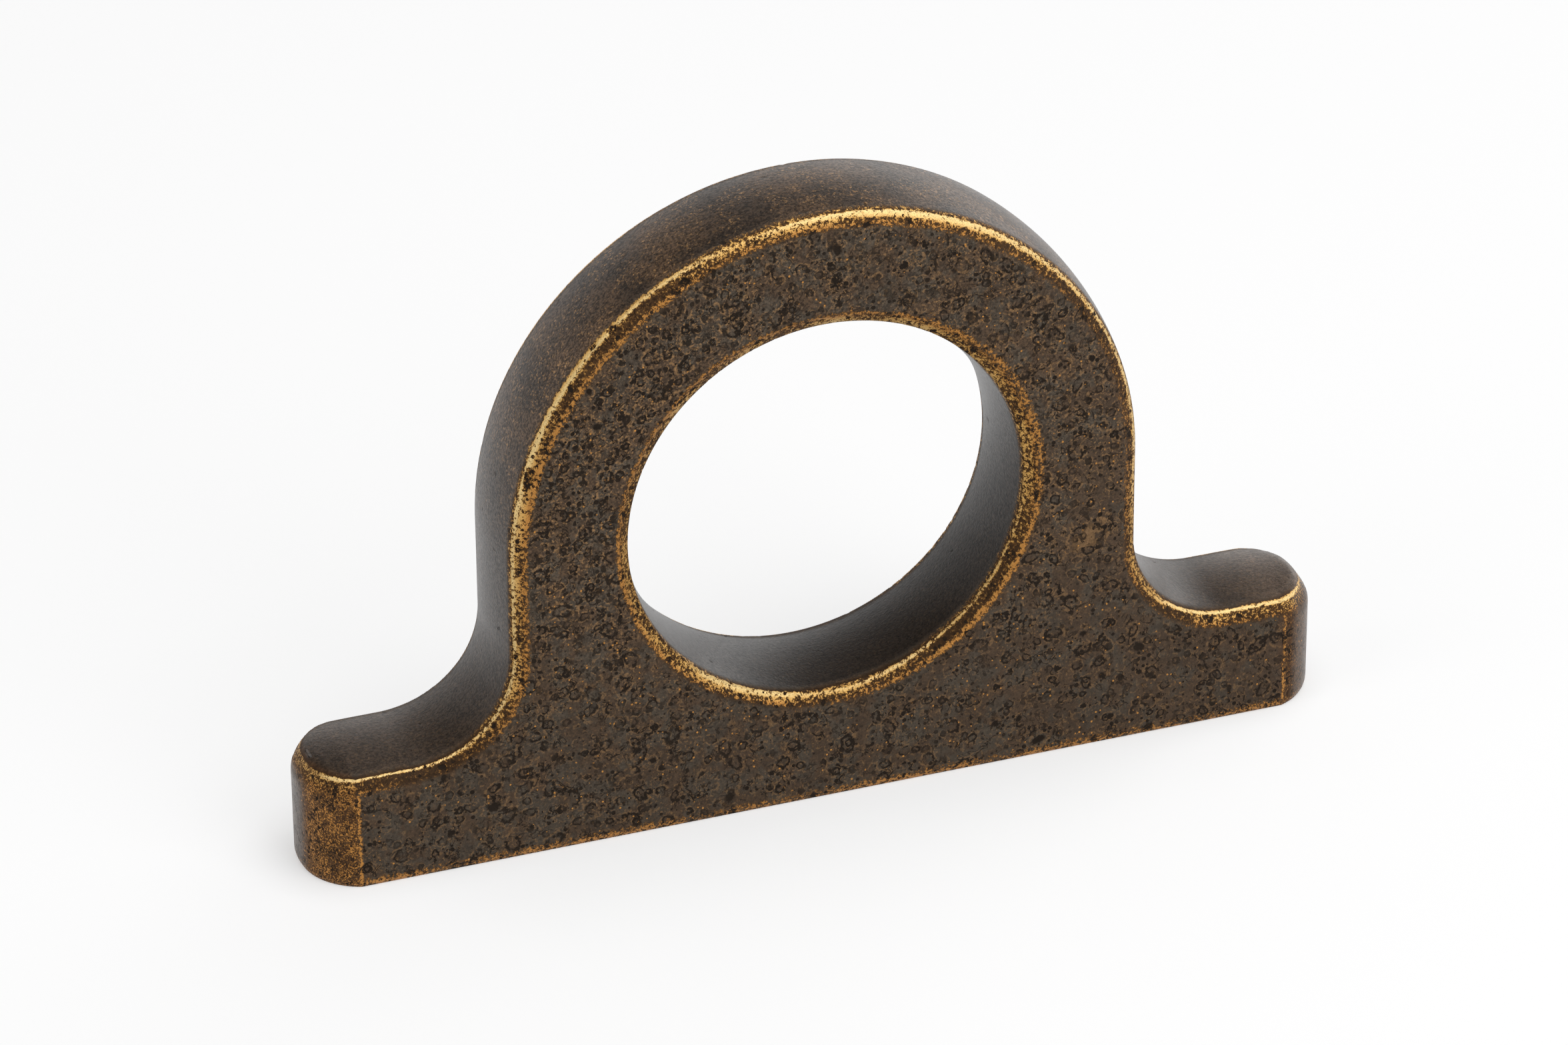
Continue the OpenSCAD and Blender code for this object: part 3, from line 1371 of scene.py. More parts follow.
@dataclass(frozen=True)
class Pits:
    """The pits as the finish draws them: the marks that the mesh carries, and smaller ones between them.

    Attributes:
        wobble: how far a mark's outline wanders, as a share of its half width.
        groove_at: where the line of a groove lies, as the same share.
        groove_half: least and greatest half width of that line, as the same share.
        painted_glint_at: where the painted highlight on the raised rim of a mark lies, as the same share.
        painted_glint_half: half the width of that highlight, as the same share.
        worm_size: the size of the worm-shaped hollows, in millimetres like all that follows.
        loop_size: the size of the loops.
        ring_spacing: distance between the small rings.
        ring_bend: how far they are bent.
        ring_r: least and greatest radius of a ring, as a share of their spacing.
        ring_glint_r: the same for the painted highlight on the rim outside it.
        grit_spacing: distance between the finest pits.
        grit_r: the greatest radius of those, as a share of their spacing.
        busy_up: heights between which the pits grow more.
        busy_along: places between which they grow fewer toward the right.
        broken_up: heights between which the grooves grow less broken.
    """

    wobble: float = 1.3
    groove_at: float = 0.76
    groove_half: Span = (0.06, 0.40)
    painted_glint_at: float = 1.15
    painted_glint_half: float = 0.30
    worm_size: float = 0.68
    loop_size: float = 1.0
    ring_spacing: float = 1.05
    ring_bend: float = 0.55
    ring_r: Span = (0.13, 0.37)
    ring_glint_r: Span = (0.26, 0.50)
    grit_spacing: float = 0.42
    grit_r: float = 0.46
    busy_up: Span = (8.0, 30.0)
    busy_along: Span = (-14.0, 0.0)
    broken_up: Span = (20.0, 32.0)

    def on_marks(self, plan: NodePlan, spot: Spot) -> Pitting:
        """Draws the marks that the mesh carries, as dishes, broken grooves and flakes.

        Args:
            plan: the finish's node tree.
            spot: the place on the casting.

        Returns:
            The pitting of the marks.
        """
        along, across, shape = plan.parts(plan.carried(ON_MARK))
        wobble_a, wobble_b, _ = plan.parts(plan.noise(spot.at, 0.45, 3.0, 0.65, out="Color"))
        along, across = along + (wobble_a - 0.5) * self.wobble, across + (wobble_b - 0.5) * self.wobble
        reach = (along * along + across * across) ** 0.5
        broken = (plan.noise(spot.at, 0.8) - spot.z.rise(*self.broken_up) * 0.06).rise(0.38, 0.50)
        half_line = plan.noise(spot.at, 0.5).between(*self.groove_half)
        groove = (abs(reach - self.groove_at) / half_line).fall(0.35, 0.95) * broken
        dish = reach.fall(0.45, 0.80)
        outlined, flaked = shape.least(MarkShape.GROOVE), (shape - MarkShape.GROOVE).most(0.0)
        drawn = outlined * groove * flaked.between(1.0, 0.4) + (1 - outlined) * dish
        # Painted highlight on the raised rim of each mark, where it would catch the light
        painted_glint = reach.bump(self.painted_glint_at, self.painted_glint_half)
        return Pitting(drawn, painted_glint, flaked * reach.fall(0.70, 1.05))

    def worms(self, plan: NodePlan, spot: Spot, busy: Signal) -> tuple[Signal, Signal]:
        """Worm-shaped hollows, and the painted highlight along their rims."""
        lumps = plan.noise(spot.at, self.worm_size, 4.0, 0.60, 0.8)
        return (lumps + busy * 0.022).rise(0.625, 0.642) * 0.95, lumps.bump(0.575, 0.020) * 0.6

    def loops(self, plan: NodePlan, spot: Spot, busy: Signal) -> Signal:
        """Thin dark lines that wander and close on themselves, in patches."""
        line = plan.noise(spot.at, self.loop_size, 3.0, 0.55, 0.5).bump(0.59, 0.030)
        return line * (plan.noise(spot.at, 2.0, 1.0) + busy * 0.06).rise(0.44, 0.50)

    def rings(self, plan: NodePlan, spot: Spot, busy: Signal) -> tuple[Signal, Signal]:
        """Small bent rings, and the painted highlight on the rims outside them.

        Args:
            plan: the finish's node tree.
            spot: the place on the casting.
            busy: how thickly the pits lie there.

        Returns:
            How dark the rings are, and how strong the painted highlight on their rims.
        """
        cloud = plan.noise(spot.at, 0.40, 3.0, 0.65, out="Color")
        bend = plan.vector("SCALE", {0: cloud, "Scale": self.ring_bend})
        bent = plan.vector("ADD", {0: spot.at, 1: bend})
        far = plan.cells(bent, self.ring_spacing)
        chance, size, _ = plan.parts(plan.cells(bent, self.ring_spacing, "Color"))
        kept = (chance + busy * 0.35).rise(0.40, 0.46) * plan.patches(spot.at, 0.7, (0.38, 0.46))
        ring = abs(far - size.between(*self.ring_r)).fall(0.05, 0.10) * kept
        return ring, abs(far - size.between(*self.ring_glint_r)).fall(0.02, 0.07) * 0.8

    def grit(self, plan: NodePlan, spot: Spot, busy: Signal) -> Signal:
        """The finest round pits.

        Args:
            plan: the finish's node tree.
            spot: the place on the casting.
            busy: how thickly the pits lie there.

        Returns:
            How dark they are.
        """
        far = plan.cells(spot.at, self.grit_spacing)
        size = plan.parts(plan.cells(spot.at, self.grit_spacing, "Color"))[0]
        return (far - size * size * self.grit_r - busy * 0.05).fall(-0.04, 0.03)

    def lay(self, plan: NodePlan, spot: Spot) -> Pitting:
        """Lays out all the pits.

        Args:
            plan: the finish's node tree.
            spot: the place on the casting.

        Returns:
            The pitting of marks and small pits together.
        """
        marks = self.on_marks(plan, spot)
        busy = spot.z.rise(*self.busy_up) * spot.x.rise(*self.busy_along).between(1.0, 0.4)
        worm, worm_painted_glint = self.worms(plan, spot, busy)
        ring, ring_painted_glint = self.rings(plan, spot, busy)
        grit = self.grit(plan, spot, busy)
        small = worm.most(self.loops(plan, spot, busy)).most(ring).most(grit)
        face = spot.outer.rise(-0.3, 0.6) * spot.bore.rise(-0.3, 0.6)
        depth = plan.patches(spot.at, 1.5, (0.34, 0.62)).between(0.5, 1.0).most(busy * 0.9)
        dark = (marks.dark * depth.between(0.75, 1.0)).most(small * face.between(0.06, 1.0) * depth)
        on_bevel = spot.inset.rise(-1.40, -1.20) * plan.patches(spot.at, 2.6, (0.44, 0.56))
        # rim is a painted highlight on the raised rims of the pits, where they would catch the light
        rim = marks.rim.most(worm_painted_glint).most(ring_painted_glint) * plan.patches(spot.at, 0.42, (0.45, 0.54))
        return Pitting(dark.most(grit * on_bevel * 0.9), rim * face * busy.between(0.65, 1.0), marks.bared)


@dataclass(frozen=True)
class EdgeWear:
    """How one edge has worn, by the angle in degrees about a point on the handle's middle line.

    Attributes:
        about_z: the height of that point.
        stops: an angle, a band and a line each. The band is the share of bare metal across the bevel, the
            share on its inner lip, and how far in the lip lies. The line is the share on the bright line by
            the rim, half its width, and how far in it lies.
    """

    about_z: float
    stops: tuple[tuple[float, Tone, Tone], ...]


class Edge(Enum):
    """The two edges of the front and back faces."""

    OUTLINE = EdgeWear(
        0.0,
        (
            (0, (0.08, 0.10, 1.20), (0.80, 0.30, 0.30)),
            (12.5, (0.38, 0.06, 1.10), (0.86, 0.38, 0.20)),
            (15, (0.38, 0.00, 1.10), (0.86, 0.38, 0.20)),
            (20, (0.10, 0.00, 1.20), (0.86, 0.28, 0.34)),
            (26, (0.34, 0.10, 1.00), (0.48, 0.48, 0.56)),
            (36, (0.34, 0.20, 1.20), (0.56, 0.44, 0.54)),
            (48, (0.24, 0.18, 1.20), (0.74, 0.32, 0.42)),
            (58, (0.10, 0.08, 1.20), (0.74, 0.32, 0.36)),
            (68, (0.16, 0.12, 1.20), (0.72, 0.38, 0.42)),
            (78, (0.32, 0.22, 1.10), (0.96, 0.50, 0.48)),
            (88, (0.42, 0.46, 1.10), (0.93, 0.44, 0.46)),
            (94, (0.58, 0.44, 1.00), (0.72, 0.40, 0.50)),
            (98, (0.66, 0.40, 1.00), (0.54, 0.44, 0.54)),
            (102, (0.38, 0.46, 1.12), (0.66, 0.45, 0.28)),
            (106, (0.04, 0.50, 1.20), (0.86, 0.46, 0.05)),
            (118, (0.14, 0.66, 1.18), (1.00, 0.55, 0.14)),
            (126, (0.74, 0.64, 1.18), (0.94, 0.50, 0.36)),
            (131, (0.56, 0.50, 1.18), (0.74, 0.38, 0.36)),
            (146, (0.48, 0.48, 1.14), (0.74, 0.36, 0.36)),
            (154, (0.28, 0.54, 1.14), (0.80, 0.30, 0.36)),
            (160, (0.20, 0.10, 1.20), (0.66, 0.25, 0.36)),
            (163.5, (0.06, 0.00, 1.20), (0.80, 0.19, 0.32)),
            (166, (0.06, 0.00, 1.20), (0.82, 0.19, 0.32)),
            (167.4, (0.24, 0.14, 1.20), (0.90, 0.40, 0.34)),
            (168.4, (0.26, 0.62, 1.20), (0.90, 0.40, 0.34)),
            (180, (0.16, 0.50, 1.20), (0.76, 0.34, 0.32)),
        ),
    )
    FINGER_HOLE = EdgeWear(
        24.6,
        (
            (-180, (0.38, 0.70, 1.10), (0.24, 0.40, 0.40)),
            (-160, (0.36, 0.70, 1.04), (0.26, 0.40, 0.40)),
            (-138, (0.36, 0.64, 0.93), (0.48, 0.40, 0.40)),
            (-122, (0.46, 0.30, 0.92), (0.98, 0.46, 0.38)),
            (-108, (0.46, 0.10, 0.94), (0.84, 0.43, 0.40)),
            (-94, (0.42, 0.22, 1.06), (0.66, 0.32, 0.52)),
            (-84, (0.38, 0.30, 1.16), (0.72, 0.29, 0.59)),
            (-68, (0.14, 0.50, 1.18), (0.76, 0.25, 0.40)),
            (-54, (0.02, 0.70, 1.17), (0.64, 0.22, 0.27)),
            (-22, (0.16, 0.76, 1.24), (0.62, 0.24, 0.29)),
            (-2, (0.36, 0.58, 1.40), (0.54, 0.25, 0.36)),
            (12, (0.40, 0.56, 1.54), (0.48, 0.28, 0.40)),
            (38, (0.42, 0.54, 1.50), (0.24, 0.30, 0.40)),
            (68, (0.50, 0.56, 1.12), (0.20, 0.40, 0.40)),
            (98, (0.50, 0.46, 1.12), (0.22, 0.40, 0.40)),
            (128, (0.44, 0.54, 1.22), (0.20, 0.40, 0.40)),
            (158, (0.42, 0.62, 1.12), (0.20, 0.40, 0.40)),
            (180, (0.38, 0.70, 1.10), (0.24, 0.40, 0.40)),
        ),
    )


@dataclass(frozen=True)
class BareBrass:
    """Where the patina has worn off: along both edges, at the foot, round the ends and in specks.

    Attributes:
        crease_x: where a face turns into a rounded end, in millimetres like all that follows.
        band: how far outside the crease between face and bevel the wear starts.
        end_tip: how far past the crease of a rounded end its wear fades out.
        foot: heights between which the wear at the foot fades out.
        speck_spacing: distance between the specks.
    """

    crease_x: float
    band: float
    end_tip: Span = (3.0, 3.49)
    foot: Span = (0.20, 1.00)
    speck_spacing: float = 0.34

    def edge_cover(self, plan: NodePlan, spot: Spot, inset: Signal, edge: Edge) -> Signal:
        """How much of the patina has worn off beside one edge.

        Args:
            plan: the finish's node tree.
            spot: the place on the casting.
            inset: distance in from the crease between the face and this edge's bevel.
            edge: how that edge has worn.

        Returns:
            The share of bare metal there.
        """
        turn = (spot.z - edge.value.about_z).angle_from(spot.x) / 360 + 0.5
        angles = [(stop[0] + 180) / 360 for stop in edge.value.stops]
        across, line = (
            plan.add("ShaderNodeValToRGB", {"stops": list(zip(angles, tones))}, {"Fac": turn})
            for tones in ([stop[1] for stop in edge.value.stops], [stop[2] for stop in edge.value.stops])
        )
        body, lip, lip_at = plan.parts(across)
        bright, half, line_at = plan.parts(line)
        wobble = plan.noise(spot.at, 0.7, 3.0, 0.65) - 0.5
        inward = inset + self.band
        from_lip = inward + wobble * 0.6 - lip_at
        body = body * plan.patches(spot.at, 3.2, (0.35, 0.65)).between(0.65, 1.35)
        body = body * (inward + wobble * 0.2).rise(0.08, 0.30) * from_lip.fall(-0.1, 0.35)
        nicks = plan.patches(spot.at, 0.36, (0.30, 0.46), 3.0, 0.70).between(0.52, 1.02)
        bright = (abs(inward + wobble * 0.18 - line_at) / half).fall(0.2, 1.0) * bright * nicks
        shed = inward.bump(0.05, 0.60) * nicks * spot.z.rise(9.8, 13.0) * 0.28
        on_lip = from_lip.bump(0.0, 0.40) * lip
        round_end = (abs(spot.x) - self.crease_x).rise(1.0, 3.4)
        return body.most(bright).most(on_lip).most(shed) * round_end.between(1.0, 0.4)

    def ends(self, plan: NodePlan, spot: Spot) -> Signal:
        """Bare metal on the crease of each rounded end and in patches round it.

        Args:
            plan: the finish's node tree.
            spot: the place on the casting.

        Returns:
            The share of bare metal.
        """
        left = spot.x.fall(-1.0, 1.0)
        end = abs(spot.x) - self.crease_x
        wander = (plan.noise(spot.at, 0.9) - 0.5) * 0.4
        line = (end + wander).bump(0.04, 0.26) * spot.outer.rise(-0.35, 0.1) * left.between(0.58, 0.74)
        patchy = plan.patches(spot.at, 1.3, (0.36, 0.60), 3.0, 0.6).between(0.18, 0.42)
        around = end.rise(0.0, 0.25) * end.fall(*self.end_tip) * spot.outer.rise(-1.0, -0.6)
        return line.most(around * patchy * left.between(0.25, 1.0))

    def specks(self, plan: NodePlan, spot: Spot) -> Signal:
        """Bare specks scattered over the faces.

        Args:
            plan: the finish's node tree.
            spot: the place on the casting.

        Returns:
            The share of bare metal.
        """
        chance = plan.parts(plan.cells(spot.at, self.speck_spacing, "Color"))[0]
        crowd = plan.patches(spot.at, 1.4, (0.42, 0.60))
        speck = plan.cells(spot.at, self.speck_spacing).fall(0.18, 0.30)
        return speck * (chance + crowd * 0.20).rise(0.95, 1.02) * spot.inset.rise(0.0, 0.2) * 0.85

    def lay(self, plan: NodePlan, spot: Spot) -> Signal:
        """Works out how much bare metal shows everywhere on the casting.

        Args:
            plan: the finish's node tree.
            spot: the place on the casting.

        Returns:
            The share of bare metal.
        """
        outer = self.edge_cover(plan, spot, spot.outer, Edge.OUTLINE)
        bore = self.edge_cover(plan, spot, spot.bore, Edge.FINGER_HOLE)
        foot = spot.z.fall(*self.foot) * plan.patches(spot.at, 4.0, (0.40, 0.60)).between(0.34, 0.68)
        return outer.most(bore).most(foot).most(self.ends(plan, spot)).most(self.specks(plan, spot))


@dataclass(frozen=True)
class Skin:
    """What the steps of the aged finish share.

    Attributes:
        spot: the place on the casting.
        pits: the pits there.
        grain: the coarse grain of the metal, from 0 to 1.
        fine: its fine grain, about 0.
        end: distance past the crease of a rounded end.
        inward: distance in from the outer side of the worn band.
        right: 1 on the right half and 0 on the left.
        smooth: 1 on the rims and the hole wall, which are smoother than the faces.
        lively: how strongly the patina changes from place to place.
        hue: turns the patina from brown to olive, and the bare metal from gold to orange.
    """

    spot: Spot
    pits: Pitting
    grain: Signal
    fine: Signal
    end: Signal
    inward: Signal
    right: Signal
    smooth: Signal
    lively: Signal
    hue: Signal


@dataclass(frozen=True)
class AgedBrass(Finish):
    """Cast brass under a dark patina, worn back to gold along its edges.

    The tones are its fields from patina_dark to orange.

    Attributes:
        crease_x: where a face turns into a rounded end, in millimetres like all that follows.
        rough: how rough the patina is on the faces.
        shine: how strongly it mirrors.
        wax: the strength of the wax that hands have left on the smooth parts.
        wax_rough: how rough that wax is.
        relief_depth: the depth of the finest relief.
        relief_strength: how strongly that relief shows.
        band: how far outside the crease between face and bevel the wear starts.
        arch_up: heights between which the rim turns from the hollows' finish to the arch's.
        lit_foot_along: places between which the right foot's top is painted lighter and given more wax, as
            painted light for the light that reaches it from the right.
    """

    name: ClassVar[str] = "aged_brass"
    crease_x: float
    patina_dark: Tone = (0.040, 0.026, 0.016)
    patina_brown: Tone = (0.0755, 0.0460, 0.0262)
    patina_olive: Tone = (0.0720, 0.0550, 0.0385)
    rim_dark: Tone = (0.036, 0.024, 0.016)
    rim_brown: Tone = (0.076, 0.045, 0.025)
    pit_black: Tone = (0.019, 0.0125, 0.008)
    bevel_brown: Tone = (0.048, 0.023, 0.008)
    end_red: Tone = (0.080, 0.037, 0.016)
    # stain colours real flecks, scuffs and bared flakes, and also the painted highlight on the rims of the
    # pits
    stain: Tone = (0.238, 0.132, 0.054)
    fringe: Tone = (0.250, 0.116, 0.032)
    pale_gold: Tone = (0.950, 0.690, 0.310)
    gold: Tone = (0.860, 0.500, 0.150)
    orange: Tone = (0.640, 0.300, 0.080)
    rough: float = 0.58
    shine: float = 0.18
    wax: float = 0.28
    wax_rough: float = 0.20
    relief_depth: float = 0.09
    relief_strength: float = 0.9
    band: float = 1.35
    arch_up: Span = (24.0, 34.0)
    lit_foot_along: Span = (31.0, 38.5)

    def read(self, plan: NodePlan) -> Skin:
        """Works out what the steps of the finish share.

        Args:
            plan: the finish's node tree.

        Returns:
            The skin.
        """
        spot = Spot.read(plan)
        end = abs(spot.x) - self.crease_x
        inward = spot.inset + self.band
        right = spot.x.rise(-1.0, 1.0)
        smooth = inward.fall(-0.75, 0.0).most(end.rise(3.1, 3.49)).most(end.rise(0.5, 1.5) * right * 0.7)
        return Skin(
            spot=spot,
            pits=Pits().lay(plan, spot),
            grain=plan.noise(spot.at, 0.26, 4.0, 0.68),
            fine=plan.noise(spot.at, 0.11, 2.0, 0.6) - 0.5,
            end=end,
            inward=inward,
            right=right,
            smooth=smooth,
            lively=spot.z.rise(6.0, 28.0) * 0.7 + spot.x.fall(-10.0, 25.0) * 0.3,
            hue=plan.noise(spot.at, 1.8, 3.0, 0.6) - spot.x.rise(8.0, 36.0) * 0.07,
        )

    def face_patina(self, plan: NodePlan, skin: Skin) -> Signal:
        """Colour of the patina on the faces: brown and olive, redder at the ends, with flecks of stain and
        a painted highlight on the rims of the pits.

        Args:
            plan: the finish's node tree.
            skin: what the steps of the finish share.

        Returns:
            The colour.
        """
        at, end, pits = skin.spot.at, skin.end, skin.pits
        face = plan.blend(skin.hue.rise(0.42, 0.58), self.patina_brown, self.patina_olive)
        cloud = plan.noise(at, 2.0, 4.0, 0.6)
        face = plan.blend(cloud.fall(0.36, 0.56) * 0.42, face, self.patina_dark)
        reddened = end.rise(0.0, 0.3).most(end.rise(-1.0, 0.4) * skin.right)
        face = plan.blend(reddened * 0.8, face, self.end_red)
        fleck = plan.patches(at, 0.20, (0.550, 0.600), 3.0, 0.65) * skin.lively.between(0.40, 0.95)
        fleck = fleck * plan.patches(at, 1.5, (0.45, 0.58)).between(0.1, 1.0)
        # The rims of the pits take the stain tone as a painted highlight
        return plan.blend(fleck.most(pits.rim * 0.85).most(pits.bared * 0.62), face, self.stain)

    def rim_patina(self, plan: NodePlan, skin: Skin) -> Signal:
        """Colour of the patina on the rim and in the finger hole: dark, browner where it is handled, with
        painted shade on the wall of the finger hole and painted light on the tops of the feet, most on the
        right.

        Args:
            plan: the finish's node tree.
            skin: what the steps of the finish share.

        Returns:
            The colour.
        """
        spot = skin.spot
        arch = spot.z.rise(*self.arch_up) * spot.bore.rise(0.0, 2.0)
        handled = plan.patches(spot.at, 4.5, (0.36, 0.62), 4.0, 0.6) * arch.between(0.15, 0.90)
        handled = handled * spot.x.bump(-6.0, 5.0).between(1.0, 0.2)
        rim = plan.blend(handled, self.rim_dark, self.rim_brown)
        scuff = plan.noise(spot.at, 0.24, 3.0, 0.70, 0.6).rise(0.550, 0.620)
        scuff = scuff * plan.patches(spot.at, 2.4, (0.40, 0.54)) * arch.between(0.12, 0.86)
        rim = plan.blend(scuff, rim, self.stain)
        # Painted shade: the wall of the finger hole is darkened, except close to its edges
        inside = (spot.bore + self.band).fall(-0.30, 0.20)
        # Painted light: the tops of the feet are lightened, the right one most, for the light that falls on
        # them from the side
        ends = spot.x.rise(*self.lit_foot_along) * 1.4 + spot.x.fall(-34.0, -28.0) * 0.3
        rim = plan.tint(rim, 1 - inside * 0.42 + ends)
        patch = (spot.x.bump(-20.0, 4.5) * 0.55 - spot.x.bump(-6.5, 5.0) * 0.30) * spot.y.fall(-3.8, -1.6)
        return plan.tint(rim, 1 + patch * spot.z.rise(26.0, 32.0))

    def speckle(self, plan: NodePlan, skin: Skin) -> Signal:
        """How the patina's brightness changes from one grain to the next, about 1.

        Args:
            plan: the finish's node tree.
            skin: what the steps of the finish share.

        Returns:
            The factor that the colour is multiplied by.
        """
        crisp = plan.patches(skin.spot.at, 0.21, (0.43, 0.57), 2.0, 0.60) - 0.5
        broad = plan.noise(skin.spot.at, 0.50, 4.0, 0.68) - 0.5
        crisp = crisp * (skin.smooth * 0.35 + skin.lively * 0.50 + 0.08)
        return skin.fine * 1.2 + crisp + broad * 1.1 + 0.99

    def patina(self, plan: NodePlan, skin: Skin, speckle: Signal, browned: Signal) -> Signal:
        """Colour of the whole patina.

        Args:
            plan: the finish's node tree.
            skin: what the steps of the finish share.
            speckle: the change of brightness from grain to grain.
            browned: how far the bevels have browned.

        Returns:
            The colour, with the pits in it.
        """
        spot = skin.spot
        patina = plan.blend(skin.smooth, self.face_patina(plan, skin), self.rim_patina(plan, skin))
        patina = plan.blend(browned, patina, self.bevel_brown)
        lower = spot.z.rise(6.0, 22.0).between(0.87, 0.99) + spot.x.fall(-40.2, -39.3) * 0.8
        patina = plan.tint(patina, speckle * lower)
        return plan.blend(skin.pits.dark * skin.smooth.between(1.0, 0.4), patina, self.pit_black)

    def brass(self, plan: NodePlan, skin: Skin, wear: Signal) -> Signal:
        """Colour of the bare metal: gold, palest along the bright line and orange further in.

        Args:
            plan: the finish's node tree.
            skin: what the steps of the finish share.
            wear: the share of bare metal.

        Returns:
            The colour.
        """
        deeper = (skin.hue * 0.6 + skin.spot.inset.rise(-1.0, 0.2) * 0.7).rise(0.35, 0.80)
        tone = plan.blend(deeper, self.gold, self.orange)
        tone = plan.blend(skin.inward.bump(0.32, 0.55) * wear.rise(0.45, 0.80), tone, self.pale_gold)
        return plan.tint(tone, skin.grain * 0.9 + skin.fine * 0.8 + 0.50)

    def paint(self, plan: NodePlan) -> None:
        """Lays out the nodes of the aged brass.

        Args:
            plan: the finish's node tree.
        """
        skin = self.read(plan)
        pitted, smooth, fine = skin.pits.dark, skin.smooth, skin.fine
        turned = skin.end.rise(0.0, 0.2)
        close = (plan.noise(skin.spot.at, 0.13, 3.0, 0.70) - skin.grain) * turned * 0.8
        level = (skin.grain + close + fine * 0.5).rise(0.29, 0.71) + 0.03
        wear = BareBrass(self.crease_x, self.band).lay(plan, skin.spot) * pitted.between(1.0, 0.15)
        bare = (wear - level).rise(-0.05, 0.10)
        thin = (wear - level).rise(-0.40, 0.00) * wear.rise(0.0, 0.12)
        browned = skin.inward.rise(-0.4, 0.15) * skin.inward.fall(0.95, 1.5) * 0.85
        speckle = self.speckle(plan, skin)
        colour = plan.blend(thin * 0.85, self.patina(plan, skin, speckle, browned), self.fringe)
        colour = plan.blend(bare, colour, self.brass(plan, skin, wear))
        metallic = bare.most(thin * 0.9).most(browned * 0.6).most(pitted * 0.5)
        coat = smooth * (1 - bare) * speckle.between(0.3, 1.0)
        relief = (1 - pitted) + skin.grain * thin.between(0.6, 1.4) + fine * 0.2
        relief = relief * smooth.between(1.0, 0.8)
        plan.metal(
            {
                "Base Color": colour,
                "Metallic": metallic.most(skin.end.rise(0.0, 0.3) * 0.5),
                "Roughness": self.rough - smooth * 0.25 + pitted * 0.12 - bare * 0.26 + fine * 0.3,
                "Specular IOR Level": self.shine,
                # The right foot's top also takes twice the wax, so that its sheen goes with its painted
                # light
                "Coat Weight": coat * (skin.spot.x.rise(*self.lit_foot_along) + 1) * self.wax,
                "Coat Roughness": self.wax_rough,
                "Normal": plan.relief(relief, self.relief_depth, self.relief_strength),
            }
        )


@dataclass(frozen=True)
class GroundBase(Finish):
    """The base, ground flat after the casting was darkened: fine straight scratches along it.

    Attributes:
        dark: its tone where the patina is left.
        bare: its tone where the metal is bare.
        rough: how rough it is between the scratches.
        metallic: how far it mirrors as metal does.
        scratch_width: width of a scratch, in millimetres.
        drawn_out: shrinks the places along the handle, which draws the scratches out that way.
        relief_depth: how deep they are, in millimetres.
        relief_strength: how strongly they show.
    """

    name: ClassVar[str] = "ground_base"
    dark: Tone = (0.050, 0.036, 0.022)
    bare: Tone = (0.420, 0.270, 0.110)
    rough: float = 0.42
    metallic: float = 0.85
    scratch_width: float = 0.16
    drawn_out: Tone = (0.06, 1.0, 1.0)
    relief_depth: float = 0.02
    relief_strength: float = 0.5

    def paint(self, plan: NodePlan) -> None:
        """Lays out the nodes of the ground brass.

        Args:
            plan: the finish's node tree.
        """
        at = plan.carried(CAST_PLACE)
        drawn = plan.vector("MULTIPLY", {0: at, 1: self.drawn_out})
        scratch = plan.noise(drawn, self.scratch_width, 3.0, 0.6)
        bared = (scratch * 0.7 + plan.noise(at, 5.0, 3.0, 0.6) * 0.5).rise(0.50, 0.80)
        plan.metal(
            {
                "Base Color": plan.blend(bared, self.dark, self.bare),
                "Metallic": self.metallic,
                "Roughness": scratch * 0.2 + self.rough,
                "Normal": plan.relief(scratch, self.relief_depth, self.relief_strength),
            }
        )


@dataclass(frozen=True)
class CutThread(Finish):
    """Bare brass in the tapped holes, dulled in patches.

    Attributes:
        bright: the tone of the bright metal.
        dull: its tone where it has dulled.
        rough: how rough it is where it is bright.
    """

    name: ClassVar[str] = "cut_thread"
    bright: Tone = (0.760, 0.530, 0.240)
    dull: Tone = (0.300, 0.180, 0.070)
    rough: float = 0.30

    def paint(self, plan: NodePlan) -> None:
        """Lays out the nodes of the cut brass.

        Args:
            plan: the finish's node tree.
        """
        stain = plan.noise(plan.carried(CAST_PLACE), 0.8, 3.0, 0.6)
        colour = plan.blend(stain.rise(0.42, 0.62), self.bright, self.dull)
        plan.metal({"Base Color": colour, "Metallic": 1.0, "Roughness": stain * 0.25 + self.rough})


@dataclass(frozen=True)
class WhiteTable(Finish):
    """White paper in even light, which keeps a faint shadow where the camera sees it.

    Attributes:
        white: how white the paper is.
        shown_share: how much of what the camera sees is glow and not paper.
        shown_level: how bright the glow is.
        mirrored_level: how bright a shiny surface mirrors it, as a share of that.
    """

    name: ClassVar[str] = "white_table"
    white: Tone = (0.95, 0.95, 0.95)
    shown_share: float = 0.50
    shown_level: float = 0.975
    mirrored_level: float = 0.78

    def paint(self, plan: NodePlan) -> None:
        """Lays out the nodes: a glow where the table is seen or mirrored, and paper for all other light.

        Args:
            plan: the finish's node tree.
        """
        camera, mirrored, clear = plan.rays("Camera", "Glossy", "Transmission")
        paper = plan.add("ShaderNodeBsdfDiffuse", sockets={"Color": (*self.white, 1.0)})
        level = mirrored.between(1.0, self.mirrored_level) * self.shown_level
        glow = plan.add("ShaderNodeEmission", sockets={"Color": WHITE, "Strength": level})
        share = camera.most(mirrored).most(clear) * self.shown_share
        surface = plan.add("ShaderNodeMixShader", sockets={0: share, 1: paper, 2: glow})
        plan.add("ShaderNodeOutputMaterial", sockets={"Surface": surface})


